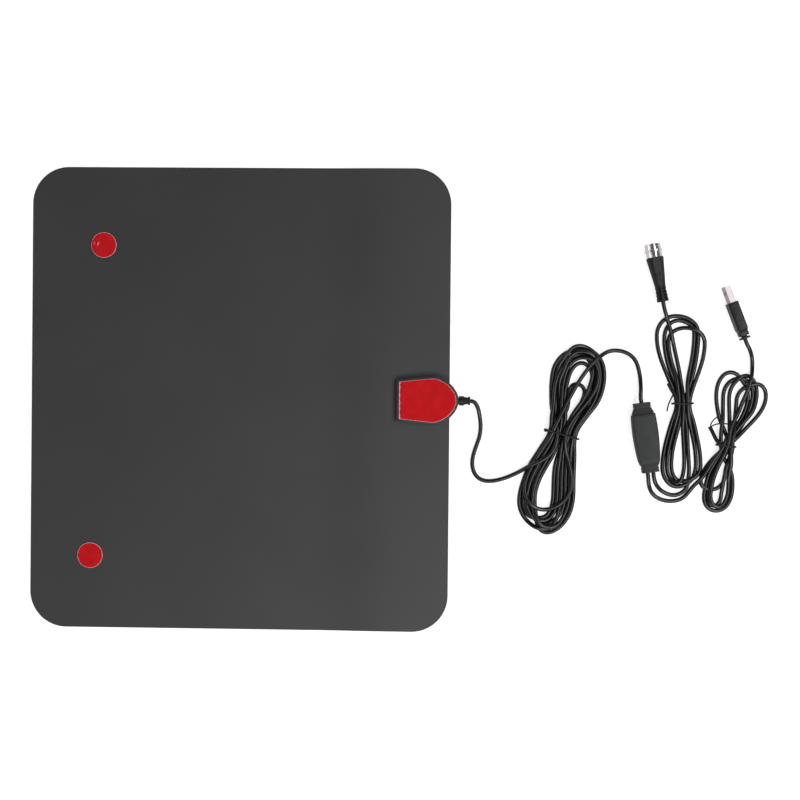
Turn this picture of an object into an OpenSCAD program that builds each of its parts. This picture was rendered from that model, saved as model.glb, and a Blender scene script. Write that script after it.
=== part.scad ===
// Flat indoor TV antenna, lying face down: a laminated sheet with its junction box,
// a feed cord to a small in-line amplifier, and two leads from there,
// one to a coaxial plug with a free coupling nut, one to a power plug.
// Millimetres. +X is right, +Y is up the sheet, +Z is up from the table.

/* [Sheet] */
// Width of the sheet
panel_w = 300; // [240:1:360]
// Height of the sheet
panel_h = 330; // [260:1:400]
// Radius of the sheet's corners
panel_r = 26; // [6:1:50]
// Thickness of each of the two films of the sheet
film_t = 0.35; // [0.25:0.05:0.6]
// Thickness of the foil between the films
foil_t = 0.1; // [0.06:0.02:0.2]
// Distance from the sheet's edge to the foil loop
foil_margin = 18; // [12:1:40]
// Width of the foil strip
foil_w = 22; // [10:1:40]
// Gap between the two ends of the foil loop
foil_gap = 8; // [5:1:11]
// Size of the foil tabs under the rivets
foil_tab = 8; // [5:0.5:10]
// Length over which the sheet rises from the table to the box
rise_l = 60; // [30:1:90]

/* [Junction box] */
// Length of the box from its flat end to its nose
box_l = 44.2; // [40:0.1:56]
// Width of the box at its flat end
box_end_w = 29.6; // [28:0.1:34]
// Width of the box at its widest place
box_w = 34.9; // [34:0.1:44]
// Distance from the flat end to the widest place
box_flare_l = 24.9; // [22:0.1:28]
// Roundness of the nose: 2 is an ellipse, less is more pointed
box_nose_power = 1.83; // [1.7:0.01:2]
// How far the nose stands past the sheet's edge
box_overhang = 6.6; // [6:0.1:8]
// Depth of the front shell, under the sheet
front_h = 2; // [1.8:0.1:3]
// Height of the back shell, over the sheet
back_h = 5.3; // [5:0.1:8]
// Wall of the two shells
box_wall = 1.4; // [1:0.1:1.8]
// Floor of the front shell
front_floor = 0.9; // [0.6:0.1:1]
// Chamfer round the outer faces of the shells
box_chamfer = 0.8; // [0.4:0.1:1.2]
// Diameter of the pegs that hold the two shells together
peg_d = 3; // [2:0.1:3.4]
// Wall of the sockets round the pegs
peg_wall = 1.3; // [1:0.1:1.6]
// Clearance round the pegs where they pass through the sheet
peg_clear = 0.2; // [0.1:0.05:0.4]
// Clearance between the sheet's edge and the block in the nose
edge_clear = 0.3; // [0.1:0.05:0.5]

/* [Adhesive pads] */
// Diameter of the two round pads
pad_d = 18.3; // [12:0.1:30]
// Thickness of the foam tape under each liner
tape_t = 0.8; // [0.4:0.1:1.5]
// Thickness of the red liner
liner_t = 0.12; // [0.08:0.02:0.3]
// Distance from the sheet's left edge to the upper pad's centre
pad_upper_left = 51.4; // [30:0.1:90]
// Distance from the sheet's top edge to the upper pad's centre
pad_upper_top = 55.8; // [30:0.1:90]
// Distance from the sheet's left edge to the lower pad's centre
pad_lower_left = 43.1; // [30:0.1:90]
// Distance from the sheet's bottom edge to the lower pad's centre
pad_lower_bottom = 51.7; // [30:0.1:90]
// Inset of the box's own pad from the edge of its top face
box_pad_inset = 1; // [0.6:0.1:2]

/* [Cord gland] */
// Length of the gland outside the box
gland_out = 8; // [6:0.1:10]
// Diameter of the gland's base, against the box
gland_base_d = 6.8; // [5.6:0.1:7]
// Length of the gland's base
gland_base_l = 3.6; // [2:0.1:4]
// Diameter of the gland's slotted neck
gland_neck_d = 5.2; // [4.4:0.1:5.4]
// Diameter of the gland's end ring
gland_ring_d = 6.2; // [5.6:0.1:7]
// Length of the gland's end ring
gland_ring_l = 1.3; // [0.8:0.1:2]
// Diameter of the collar held inside the box
gland_collar_d = 6; // [5.4:0.1:6.4]
// Length of the collar held inside the box
gland_collar_l = 1.5; // [1:0.1:2]
// Diameter of the gland where it passes through the box's wall
gland_waist_d = 4.4; // [4:0.1:5]
// Wall of the nose in front of the collar
gland_nose_wall = 2.6; // [2:0.1:3]
// Clearance round the gland inside the shells
gland_clear = 0.1; // [0.05:0.01:0.2]
// Width of the four slots in the neck
gland_slot_w = 1.1; // [0.6:0.1:1.4]

/* [Balun] */
// Length of the circuit board in the box
balun_l = 15; // [12:0.5:17]
// Width of the circuit board in the box
balun_w = 22; // [18:0.5:23]
// Thickness of both circuit boards
board_t = 0.8; // [0.6:0.1:1.2]
// Distance from the box's flat end to the board's centre
balun_pos = 18; // [16:0.5:19]
// Distance between the two rivets
rivet_span = 16; // [13:0.5:17]
// Diameter of the rivets' shanks
rivet_d = 1.6; // [1:0.1:2]
// Diameter of the rivets' heads
rivet_head_d = 3; // [2.4:0.1:3.6]
// Thickness of the rivets' heads
rivet_head_t = 0.5; // [0.3:0.1:0.7]
// Length of the two-hole ferrite core
core_l = 6.4; // [4:0.1:8]
// Width of the two-hole ferrite core
core_w = 7; // [6:0.1:8]
// Height of the two-hole ferrite core
core_h = 2.7; // [2:0.1:2.8]
// Diameter of the core's two holes
core_hole_d = 1.3; // [0.8:0.1:1.6]

/* [Cords] */
// Diameter of the three cords
cord_d = 3; // [2.6:0.1:3.2]
// Diameter of the insulation round the inner conductor
cord_core_d = 1.8; // [1.4:0.1:2]
// Diameter of the inner conductor
cord_wire_d = 0.6; // [0.4:0.1:0.8]
// Thickness of the wire ties round the hanks
tie_t = 1.2; // [0.8:0.1:1.6]
// Width of the wire ties along the hanks
tie_w = 1.6; // [1:0.1:3]
// Height of the hank of feed cord
feed_hank_h = 9; // [7:0.5:12]
// Height of the hank of the lead to the coaxial plug
tv_hank_h = 7.5; // [6:0.5:12]
// Height of the hank of the lead to the power plug
power_hank_h = 9; // [7:0.5:12]

/* [Amplifier] */
// Length of the amplifier's bowed body
amp_body_l = 36.7; // [33:0.1:44]
// Width of the body at its middle
amp_w = 16.8; // [16:0.1:20]
// Width of the body at its ends
amp_end_w = 14.9; // [14.6:0.1:15.9]
// Height of the amplifier
amp_h = 13; // [12:0.1:16]
// Chamfer of the body's long edges
amp_chamfer = 0.8; // [0.4:0.1:1.2]
// Wall of the amplifier's two shells
amp_wall = 1.4; // [1:0.1:1.6]
// Width of the collars at both ends
amp_collar_w = 10.6; // [10:0.1:11.4]
// Height of the collars at both ends
amp_collar_h = 9.4; // [8:0.1:10]
// Length of the collar at the feed cord's end
amp_top_collar_l = 3.9; // [3.4:0.1:6]
// Length of the collar at the two leads' end
amp_low_collar_l = 4.6; // [4:0.1:6]
// Length of the sloping shoulder behind the upper collar
amp_shoulder_l = 4.2; // [3:0.1:6]
// How far the collars' rings stand proud
amp_rib_h = 0.5; // [0.3:0.1:0.7]
// Width of the collars' rings
amp_rib_w = 1.1; // [0.8:0.1:1.4]
// Distance between the two leads at the lower end
amp_lead_gap = 4; // [3.6:0.1:4.6]
// Length of the amplifier's circuit board
amp_board_l = 26; // [24:0.5:28]
// Width of the amplifier's circuit board
amp_board_w = 11; // [10.6:0.1:11.2]
// Width of the two ledges that carry the board
amp_ledge_w = 1; // [0.8:0.1:1.4]
// Diameter of the choke on the board
choke_d = 4.4; // [3:0.1:5]
// Height of the choke on the board
choke_h = 4; // [2:0.1:4.4]
// Width of the wire groove round the choke
choke_groove = 1.8; // [1:0.1:2]
// Length of the transistor on the board
transistor_l = 3; // [2.4:0.1:4]
// Length of each of the capacitors on the board
capacitor_l = 2; // [1.4:0.1:2.4]

/* [Coaxial plug] */
// Length of the plug's moulded boot
boot_l = 31.4; // [30:0.1:36]
// Diameter of the boot at the nut
boot_front_d = 12.4; // [11.6:0.1:12.6]
// Diameter of the boot behind its taper
boot_back_d = 7.6; // [7.2:0.1:9]
// Diameter of the boot at its very end
boot_end_d = 8.4; // [7.6:0.1:9]
// Length of the slotted stretch at the boot's end
boot_relief_l = 11; // [10:0.1:12]
// How far the two flats are cut into the boot
boot_flat = 0.6; // [0.4:0.1:0.9]
// Length of the two grip bars on the boot
bar_l = 8.6; // [6:0.1:9]
// Width of each grip bar
bar_w = 1.3; // [0.8:0.1:1.4]
// Distance between the two grip bars' centres
bar_gap = 2.8; // [2.2:0.1:3]
// Height of the grip bars over the flat
bar_h = 0.5; // [0.3:0.1:0.8]
// Width of each slot in the relief
relief_slot = 1.5; // [1:0.1:1.8]
// Depth of each slot in the relief
relief_depth = 1.4; // [0.8:0.1:1.6]
// Width across the coupling nut's flats
nut_af = 11; // [10.6:0.1:11.2]
// Length of the coupling nut
nut_l = 9.8; // [8:0.1:12]
// Diameter of the ring round the nut's middle
nut_ring_d = 12.6; // [12:0.1:12.7]
// Width of the ring round the nut's middle
nut_ring_w = 1.3; // [1:0.1:2]
// Diameter of the nut's threaded bore
nut_bore_d = 9; // [8.7:0.1:9.3]
// Thickness of the nut's inner lip
nut_lip = 1.6; // [1:0.1:2]
// Diameter of the metal post that the nut turns on
post_d = 6.4; // [6:0.1:7]
// Diameter of the post's flange, inside the nut
flange_d = 8.2; // [7.8:0.1:8.4]
// Thickness of the post's flange
flange_t = 1; // [0.6:0.1:1.6]
// Clearance of the nut round the post, on the radius
nut_clear = 0.08; // [0.06:0.01:0.1]
// End play of the nut between the boot and the flange
nut_play = 0.2; // [0.1:0.05:0.4]
// Depth that the post is moulded into the boot
post_root = 6; // [3:0.5:8]
// Diameter of the white insulator in the post
insulator_d = 4.6; // [3.6:0.1:5]
// Diameter of the plug's inner pin
pin_d = 1; // [0.9:0.1:1.2]
// Diameter of the pin's root, inside the insulator
pin_root_d = 0.6; // [0.5:0.05:0.6]
// Distance from the nut's front edge back to the pin's tip
pin_short = 0.3; // [0:0.1:1]

/* [Power plug] */
// Length of the plug's moulding
mould_l = 27.2; // [26:0.1:32]
// Thickness of the moulding
mould_t = 7.6; // [7:0.1:9]
// Width of the moulding, upright as it lies
mould_w = 13.6; // [13.2:0.1:16]
// Radius of the moulding's long edges
mould_r = 1.4; // [0.8:0.1:1.6]
// Length of the taper behind the grip
mould_taper_l = 3.5; // [2:0.1:5]
// Length of the narrow neck and end bar behind the taper
mould_neck_l = 3.2; // [2.6:0.1:4]
// Thickness of the end bar
mould_bar_t = 1.2; // [0.8:0.1:1.6]
// Number of fine ribs across the grip
grip_ribs = 5; // [3:1:6]
// Distance from rib to rib
grip_pitch = 1.3; // [1.1:0.1:1.4]
// Depth of the grooves between the ribs
grip_depth = 0.35; // [0.2:0.05:0.5]
// Length of the steel shell outside the moulding
shell_out = 12; // [11:0.1:13]
// Length of the steel shell inside the moulding
shell_in = 4; // [2:0.1:6]
// Width of the steel shell
shell_w = 12; // [11.8:0.1:12.2]
// Thickness of the steel shell, outside
shell_t = 4.5; // [4.3:0.1:4.7]
// Thickness of the shell's sheet metal
shell_wall = 0.3; // [0.2:0.05:0.4]
// Size of the square latch windows in the shell
latch_window = 2.3; // [1.6:0.1:2.6]
// Distance between the two latch windows
latch_gap = 5.4; // [4.6:0.1:6]
// Thickness of the plastic tongue in the shell
tongue_t = 1.9; // [1.6:0.1:2]
// Distance from the shell's front edge to the tongue
tongue_set = 0.7; // [0.3:0.1:2]
// Width of each contact on the tongue
contact_w = 1.1; // [0.8:0.1:1.3]
// Distance from contact to contact
contact_pitch = 2.4; // [2:0.1:2.5]
// Thickness of the contacts
contact_t = 0.2; // [0.1:0.05:0.3]

/* [Hidden] */
$fn = 48;
// Facets where round shapes are joined by hull()
hull_fn = 24;
// Cuts run this far past the faces they open
over = 1;
film = "#3c3e40";
black = "#1d1e20";
red = "#c2161f";
foam = "#d9c9c6";
metal = "#c9cacc";
board_green = "#2f6b3f";
ferrite = "#2b2a2c";
white = "#eceae4";
gold = "#c9a24a";

// The sheet lies left of the origin, so that the sheet, box and gland together are centred
overall_w = panel_w + box_overhang + gland_out;
panel_x = -overall_w / 2;
panel_right = panel_x + panel_w;
sheet_t = 2 * film_t;
box_x = panel_right + box_overhang - box_l;
box_h = front_h + sheet_t + back_h;
sheet_z = front_h + sheet_t;
nose_l = box_l - box_flare_l;
nose_steps = 24;
rise_steps = 12;
gland_x = box_x + box_l;
gland_z = sheet_z + cord_d / 2 + gland_clear;
block_x = panel_right + edge_clear;
collar_x = gland_x - gland_nose_wall - gland_collar_l;
balun_x = box_x + balun_pos;
balun_end = balun_x + balun_l / 2;
boss_r = peg_d / 2 + peg_wall;
// How far the sockets sink into the box's side walls, and stand off the block in the nose
boss_sink = 0.8;
boss_off = 3.5;
peg_inset = box_wall + boss_r - boss_sink;
peg_places = [
    [box_x + peg_inset, box_end_w / 2 - peg_inset],
    [block_x - boss_r - boss_off, box_w / 2 - peg_inset - 2 * boss_sink]
];
// How far the pegs seat in the roof of the back shell, and the sockets run into it
peg_seat = 0.3;
socket_root = 0.5;
peg_top = box_h - box_wall + peg_seat;
// Clearance round the cord where it runs through the block
cord_bore_clear = 0.35;
// Wall left between a gland slot and the cord
gland_slot_floor = 0.4;
// Bare lengths of a lead's end: insulation past the jacket, wire past the insulation
strip_l = 1;
wire_l = 2.5;
// Clearance between a lead's jacket and a board
tail_clear = 1.5;
core_r = core_h / 3;
// Length of the thin slabs that a taper is drawn between
slab_l = 0.1;

// Foil loop: the strip down the right side, and the tabs to the rivets
foil_x = panel_right - foil_margin - foil_w;
tab_low = min(foil_x, balun_x - foil_tab / 2);
tab_high = max(foil_x + foil_w, balun_x + foil_tab / 2);

// Amplifier: middle of its upper end, and the angle it lies at
amp_at = [278.1, -0.2];
amp_lean = 8;
amp_l = amp_top_collar_l + amp_shoulder_l + amp_body_l + amp_low_collar_l;
amp_body_y = -amp_top_collar_l - amp_shoulder_l - amp_body_l / 2;
amp_bow = (amp_w - amp_end_w) / 2;
amp_arc_r = (pow(amp_body_l / 2, 2) + pow(amp_bow, 2)) / (2 * amp_bow);
amp_board_z = amp_h / 2 - cord_d / 2;
amp_tail_l = (amp_l - amp_board_l) / 2 - tail_clear;
amp_corner = 1;
amp_rib_corner = 1.2;
amp_arc_fn = 360;
choke_neck = 0.8 * choke_d;
capacitor_pitch = 1.6 * capacitor_l;

// Clearance between the coaxial plug and the table
table_clear = 0.05;
// Coaxial plug: middle of the boot's end, its angle, and the stations along its axis
plug_at = [292.6, 71.4];
plug_lean = 11.3;
nut_r = nut_af / 2 / cos(30);
plug_z = max(nut_r, nut_ring_d / 2, boot_front_d / 2) + table_clear;
nut_y = boot_l + nut_play / 2;
flange_y = nut_y + nut_lip + nut_play / 2;
face_y = flange_y + flange_t;
nut_front = nut_y + nut_l;
// Where the pin's blunt tip begins
pin_tip_y = nut_front - pin_short - pin_d / 2;
relief_slots = 3;
relief_web = (boot_relief_l - relief_slots * relief_slot) / (relief_slots + 1);
// Distance from the relief to the grip bars
bar_set = 0.6;

// Power plug: middle of the moulding's end, its angle, and its axis height
power_at = [350.3, 45.6];
power_lean = 21;
power_z = mould_w / 2;
mould_grip_y = mould_neck_l + mould_taper_l;
tongue_y = mould_l + shell_out - tongue_set;
// Sizes of the moulding's narrow end: the neck, the bar at the end and the bar behind it
mould_neck_w = mould_w - 5;
mould_neck_t = mould_t - 2;
mould_neck_d = cord_d + 1.4;
mould_bar_w = mould_w - 6;
mould_mid_w = mould_w - 8;
mould_mid_l = 0.6;
mould_bar_r = 0.6;
mould_ease = 0.4;
// Distance from the moulding's front back to its ribs, and to the single groove
grip_set = 2;
groove_set = 14.3;
contacts = 4;
contact_set = 1;
shell_corner = 0.3;
tongue_w = shell_w - 2 * shell_wall - 2 * shell_corner;

// Hanks: middle of each tie, the angle of the hank, and its outline beyond the tie.
// Each lobe is [sideways, length from the tie, half width]
feed_hank_at = [222.5, -22.1];
feed_hank_lean = -8.9;
feed_hank_waist = 21.6;
feed_lobes = [[4.3, 63.2, 19.3], [-3.8, -72.5, 19.5]];
tv_hank_at = [308, -0.5];
tv_hank_lean = 1.3;
tv_hank_waist = 12;
tv_lobes = [[-1, 62.7, 17.4], [-2, -59.7, 14.6]];
power_hank_at = [338.7, -30.6];
power_hank_lean = -13;
power_hank_waist = 10.6;
power_lobes = [[2.4, 55.5, 18.4], [1, -46, 12.5]];

// A point in the sheet's frame of one given in the frame of a piece that lies at an angle
function laid(at, lean, x, y, z) =
    [at[0] + x * cos(lean) - y * sin(lean), at[1] + x * sin(lean) + y * cos(lean), z];
// Where the cords leave the pieces, and how far they run straight from there
straight_l = 4;
function gland_port(out) = [gland_x + gland_out + out, 0, gland_z];
function amp_port(x, y) = laid(amp_at, amp_lean, x, y, amp_h / 2);
function plug_port(out) = laid(plug_at, plug_lean, 0, -out, plug_z);
function power_port(out) = laid(power_at, power_lean, 0, -out, power_z);

// Cord routes between those ports, chosen by hand
feed_box_route = concat([gland_port(0), gland_port(straight_l * 0.7)], [
    [163, -1.5, 4.1], [164.6, -5, 3.7], [165, -9.5, 3], [165, -16, 2.1], [164.3, -24, 1.5], [162, -32, 1.5],
    [159.8, -39, 1.5], [159.2, -45, 1.5], [160.6, -51, 1.5], [164.5, -55.5, 1.5],
    [171, -57, 1.5], [180, -55.5, 1.5], [190, -51.7, 1.5], [199.5, -47, 1.5], [205.5, -44, 1.5]
]);
feed_amp_route = concat([
    [244.5, 27.5, 2], [249, 32.5, 1.6], [255.5, 36.3, 1.5], [263, 36.8, 1.5],
    [269.8, 34, 1.5], [274.6, 28.5, 1.9], [277, 21.5, 3], [277.8, 13, 5]
], [amp_port(0, straight_l), amp_port(0, 0)]);
tv_amp_route = concat([
    amp_port(amp_lead_gap / 2, -amp_l), amp_port(amp_lead_gap / 2, -amp_l - straight_l)
], [
    [288.8, -57, 5.4], [291.8, -61, 3.6],
    [296.2, -64, 2.2], [301.5, -65.2, 1.5], [306.5, -63.6, 1.5], [310.5, -59, 1.5]
]);
tv_plug_route = concat([
    [298.4, 55.5, 3.6], [296.4, 60.6, 4.8], [294.6, 65, 6]
], [plug_port(straight_l), plug_port(0)]);
power_amp_route = concat([
    amp_port(-amp_lead_gap / 2, -amp_l), amp_port(-amp_lead_gap / 2, -amp_l - straight_l)
], [
    [284, -57.5, 5.4], [285.6, -62.4, 3.6],
    [289.2, -66.6, 2], [295, -69.2, 1.5], [302, -69.6, 1.5], [308.6, -67.4, 1.5],
    [315, -62, 1.5], [320.5, -55.5, 1.5], [326.5, -48, 1.5]
]);
power_plug_route = concat([
    [355.6, 19.5, 2.4], [356.6, 26, 2.6], [356.2, 32.4, 3.6], [354.2, 37.6, 5.4]
], [power_port(straight_l), power_port(0)]);
cord_sides = 8;

// Points of a swept tube: one ring of points square to the route at each of its points
function unit(v) = v / norm(v);
function heading(route, i) =
    unit(route[min(i + 1, len(route) - 1)] - route[max(i - 1, 0)]);
function ring_point(centre, along, turn) =
    let (side = unit(cross(along, [0, 0, 1])), up = cross(side, along))
    centre + cord_d / 2 * (cos(turn) * side + sin(turn) * up);
function ring_points(route) = [
    for (i = [0 : len(route) - 1])
        for (k = [0 : cord_sides - 1])
            ring_point(route[i], heading(route, i), (k + 0.5) * 360 / cord_sides)
];
function ring_faces(rings) = concat(
    [[for (k = [0 : cord_sides - 1]) cord_sides - 1 - k]],
    [for (i = [0 : rings - 2])
        for (k = [0 : cord_sides - 1])
            let (a = i * cord_sides + k, b = i * cord_sides + (k + 1) % cord_sides)
            [a, b, b + cord_sides, a + cord_sides]],
    [[for (k = [0 : cord_sides - 1]) (rings - 1) * cord_sides + k]]
);

// Height of the sheet's underside at a place along X
function rise(x) =
    let (s = max(0, min(1, (x - box_x + rise_l) / rise_l)))
    front_h * (s < 0.5 ? 2 * s * s : 1 - 2 * (1 - s) * (1 - s));
sheet_stations = concat(
    [panel_x - over],
    [for (i = [0 : rise_steps]) box_x - rise_l + rise_l * i / rise_steps],
    [panel_right + over]
);

// A cord's tube along its route
module cord_tube(route) {
    color(black)
    polyhedron(points = ring_points(route), faces = ring_faces(len(route)), convexity = 8);
}

// A layer of the sheet between two heights over its underside, all over the sheet and past it
module sheet_layer(low, high) {
    rotate([90, 0, 0])
    linear_extrude(panel_h + 2 * over, center = true)
    polygon(concat(
        [for (x = sheet_stations) [x, rise(x) + low]],
        [for (i = [len(sheet_stations) - 1 : -1 : 0])
            [sheet_stations[i], rise(sheet_stations[i]) + high]]
    ));
}

// A rectangle with round corners, centred
module round_rect(w, h, r) {
    square([w - 2 * r, h], center = true);
    square([w, h - 2 * r], center = true);
    for (x = [-1, 1], y = [-1, 1])
        translate([x * (w / 2 - r), y * (h / 2 - r)]) circle(r);
}

// The sheet's outline, seen from above
module panel_outline() {
    translate([panel_x + panel_w / 2, 0]) round_rect(panel_w, panel_h, panel_r);
}

// The foil loop's outline, open at the box, with a tab at each end
module foil_outline() {
    inner_w = panel_w - 2 * foil_margin;
    inner_h = panel_h - 2 * foil_margin;
    difference() {
        translate([panel_x + foil_margin, -inner_h / 2]) square([inner_w, inner_h]);
        translate([panel_x + foil_margin + foil_w, -inner_h / 2 + foil_w])
            square([inner_w - 2 * foil_w, inner_h - 2 * foil_w]);
        translate([foil_x - over, -foil_gap / 2]) square([foil_w + 2 * over, foil_gap]);
    }
    for (s = [-1, 1])
        translate([tab_low, s * (foil_gap / 2 + foil_tab / 2) - foil_tab / 2])
            square([tab_high - tab_low, foil_tab]);
}

// The four pegs' places, with what is given put at each
module at_pegs() {
    for (p = peg_places, s = [-1, 1]) translate([p[0], s * p[1], 0]) children();
}

// The two rivets' places
module at_rivets() {
    for (s = [-1, 1]) translate([balun_x, s * rivet_span / 2, 0]) children();
}

// Holes through both films for the pegs and rivets
module film_holes() {
    at_pegs() cylinder(d = peg_d + 2 * peg_clear, h = box_h);
    at_rivets() cylinder(d = rivet_d, h = box_h);
}

module front_film() {
    color(film)
    difference() {
        intersection() {
            sheet_layer(0, film_t);
            linear_extrude(box_h) panel_outline();
        }
        film_holes();
    }
}

module antenna_foil() {
    color("silver")
    difference() {
        intersection() {
            sheet_layer(film_t, film_t + foil_t);
            linear_extrude(box_h) foil_outline();
        }
        at_rivets() cylinder(d = rivet_d, h = box_h);
        at_pegs() cylinder(d = peg_d + 2 * peg_clear, h = box_h);
    }
}

module back_film() {
    color(film)
    difference() {
        intersection() {
            sheet_layer(film_t, sheet_t);
            linear_extrude(box_h) panel_outline();
        }
        intersection() {
            sheet_layer(-over, film_t + foil_t);
            linear_extrude(box_h) foil_outline();
        }
        film_holes();
    }
}

// A round pad: its foam tape, or the liner on it
module pad_disc(x, y, low, t) {
    translate([x, y, low]) cylinder(d = pad_d, h = t);
}
module upper_pad_tape() {
    color(foam) pad_disc(panel_x + pad_upper_left, panel_h / 2 - pad_upper_top, sheet_t, tape_t);
}
module upper_pad_liner() {
    color(red)
    pad_disc(panel_x + pad_upper_left, panel_h / 2 - pad_upper_top, sheet_t + tape_t, liner_t);
}
module lower_pad_tape() {
    color(foam) pad_disc(panel_x + pad_lower_left, pad_lower_bottom - panel_h / 2, sheet_t, tape_t);
}
module lower_pad_liner() {
    color(red)
    pad_disc(panel_x + pad_lower_left, pad_lower_bottom - panel_h / 2, sheet_t + tape_t, liner_t);
}

// The box's outline: a flat end, flaring sides and a nose on a curve of the power given
module box_outline(inset) {
    nose = [
        for (i = [0 : nose_steps])
            let (a = 90 - 180 * i / nose_steps)
            [box_flare_l + nose_l * pow(cos(a), 2 / box_nose_power),
             sign(sin(a)) * box_w / 2 * pow(abs(sin(a)), 2 / box_nose_power)]
    ];
    translate([box_x, 0])
    offset(delta = -inset)
    polygon(concat([[0, -box_end_w / 2], [0, box_end_w / 2]], nose));
}

// The solid between the box's two chamfered faces
module box_form() {
    hull() {
        translate([0, 0, box_chamfer]) linear_extrude(box_h - 2 * box_chamfer) box_outline(0);
        linear_extrude(box_h) box_outline(box_chamfer);
    }
}

// All the gland takes out of the shells
module gland_space() {
    translate([collar_x, 0, gland_z]) rotate([0, 90, 0]) {
        translate([0, 0, -gland_clear])
            cylinder(d = gland_collar_d + 2 * gland_clear, h = gland_collar_l + 2 * gland_clear);
        cylinder(d = gland_waist_d + 2 * gland_clear, h = gland_collar_l + gland_nose_wall + over);
        translate([0, 0, -gland_x + block_x])
            cylinder(d = cord_d + 2 * cord_bore_clear, h = gland_x - block_x);
    }
}

module box_back_shell() {
    color(film)
    difference() {
        union() {
            difference() {
                intersection() {
                    box_form();
                    translate([box_x - over, -box_w, sheet_z]) cube([2 * box_l, 2 * box_w, box_h]);
                }
                intersection() {
                    linear_extrude(box_h - box_wall) box_outline(box_wall);
                    translate([box_x, -box_w, 0]) cube([block_x - box_x, 2 * box_w, box_h]);
                }
            }
            at_pegs() translate([0, 0, sheet_z])
                cylinder(r = boss_r, h = back_h - box_wall + socket_root);
        }
        at_pegs() cylinder(d = peg_d, h = peg_top);
        gland_space();
    }
}

module box_front_shell() {
    color(film)
    difference() {
        union() {
            difference() {
                intersection() {
                    box_form();
                    translate([box_x - over, -box_w, 0]) cube([2 * box_l, 2 * box_w, front_h]);
                }
                translate([0, 0, front_floor])
                intersection() {
                    linear_extrude(front_h) box_outline(box_wall);
                    translate([box_x, -box_w, 0]) cube([block_x - box_x, 2 * box_w, front_h]);
                }
            }
            intersection() {
                box_form();
                translate([block_x, -box_w, front_h]) cube([box_l, 2 * box_w, sheet_t]);
            }
            at_pegs() cylinder(r = boss_r, h = front_h);
            at_pegs() cylinder(d = peg_d, h = peg_top);
        }
        gland_space();
    }
}

module box_pad_tape() {
    color(foam)
    translate([0, 0, box_h]) linear_extrude(tape_t) box_outline(box_chamfer + box_pad_inset);
}

module box_pad_liner() {
    color(red)
    translate([0, 0, box_h + tape_t])
    linear_extrude(liner_t) box_outline(box_chamfer + box_pad_inset);
}

// The gland is moulded on the cord: a collar held in the nose, a base, a slotted neck and a ring
module cord_gland() {
    color(black)
    translate([collar_x, 0, gland_z]) rotate([0, 90, 0])
    difference() {
        union() {
            cylinder(d = gland_collar_d, h = gland_collar_l);
            cylinder(d = gland_waist_d, h = gland_collar_l + gland_nose_wall);
            translate([0, 0, gland_x - collar_x]) {
                cylinder(d = gland_base_d, h = gland_base_l);
                cylinder(d = gland_neck_d, h = gland_out);
                translate([0, 0, gland_out - gland_ring_l])
                    cylinder(d = gland_ring_d, h = gland_ring_l);
            }
        }
        translate([0, 0, -over]) cylinder(d = cord_d, h = gland_x - collar_x + gland_out + 2 * over);
        for (turn = [45 : 90 : 315])
            rotate([0, 0, turn])
            translate([cord_d / 2 + gland_slot_floor, -gland_slot_w / 2, gland_x - collar_x + gland_base_l])
            cube([gland_neck_d, gland_slot_w, gland_out - gland_base_l - gland_ring_l]);
    }
}

// A lead's end inside a housing: jacket, then insulation, then the inner conductor
module cord_tail(jacket) {
    cylinder(d = cord_d, h = jacket);
    cylinder(d = cord_core_d, h = jacket + strip_l);
    cylinder(d = cord_wire_d, h = jacket + strip_l + wire_l);
}

module feed_cord_tail() {
    jacket = gland_x + gland_out - balun_end - strip_l - tail_clear;
    color(black)
    translate([gland_x + gland_out, 0, gland_z]) rotate([0, -90, 0]) cord_tail(jacket);
}

module balun_board() {
    color(board_green)
    difference() {
        translate([balun_x - balun_l / 2, -balun_w / 2, sheet_z]) cube([balun_l, balun_w, board_t]);
        at_rivets() cylinder(d = rivet_d, h = box_h);
    }
}

module balun_core() {
    color(ferrite)
    translate([balun_x - core_l / 2, 0, sheet_z + board_t + core_h / 2])
    rotate([0, 90, 0])
    difference() {
        linear_extrude(core_l) round_rect(core_h, core_w, core_r);
        for (s = [-1, 1])
            translate([0, s * core_w / 4, -over]) cylinder(d = core_hole_d, h = core_l + 2 * over);
    }
}

// Rivets through foil, films and board, with a head under the sheet and one on the board
module foil_rivets() {
    color(metal)
    at_rivets() {
        translate([0, 0, front_h - rivet_head_t]) cylinder(d = rivet_head_d, h = rivet_head_t);
        translate([0, 0, front_h - rivet_head_t])
            cylinder(d = rivet_d, h = 2 * rivet_head_t + sheet_t + board_t);
        translate([0, 0, sheet_z + board_t]) cylinder(d = rivet_head_d, h = rivet_head_t);
    }
}

// A hank's outer shape: two lobes with round ends, narrow at the tie, where it is grooved
module hank(at, lean, waist, h, lobes) {
    color(black)
    translate([at[0], at[1], 0]) rotate([0, 0, lean])
    difference() {
        linear_extrude(h)
        for (lobe = lobes)
            hull() {
                translate([lobe[0], lobe[1] - sign(lobe[1]) * lobe[2]])
                    circle(lobe[2], $fn = hull_fn);
                square([waist, 2 * tie_w], center = true);
            }
        translate([-waist, -tie_w / 2, -over]) cube([2 * waist, tie_w, over + tie_t]);
        translate([-waist, -tie_w / 2, h - tie_t]) cube([2 * waist, tie_w, over + tie_t]);
        for (s = [-1, 1])
            translate([s * waist - waist / 2 - s * tie_t, -tie_w / 2, -over])
                cube([waist, tie_w, h + 2 * over]);
    }
}

// The wire tie in a hank's groove
module tie(at, lean, waist, h) {
    color(black)
    translate([at[0], at[1], 0]) rotate([0, 0, lean])
    difference() {
        translate([-waist / 2, -tie_w / 2, 0]) cube([waist, tie_w, h]);
        translate([-waist / 2 + tie_t, -tie_w, tie_t]) cube([waist - 2 * tie_t, 2 * tie_w, h - 2 * tie_t]);
    }
}

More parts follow.
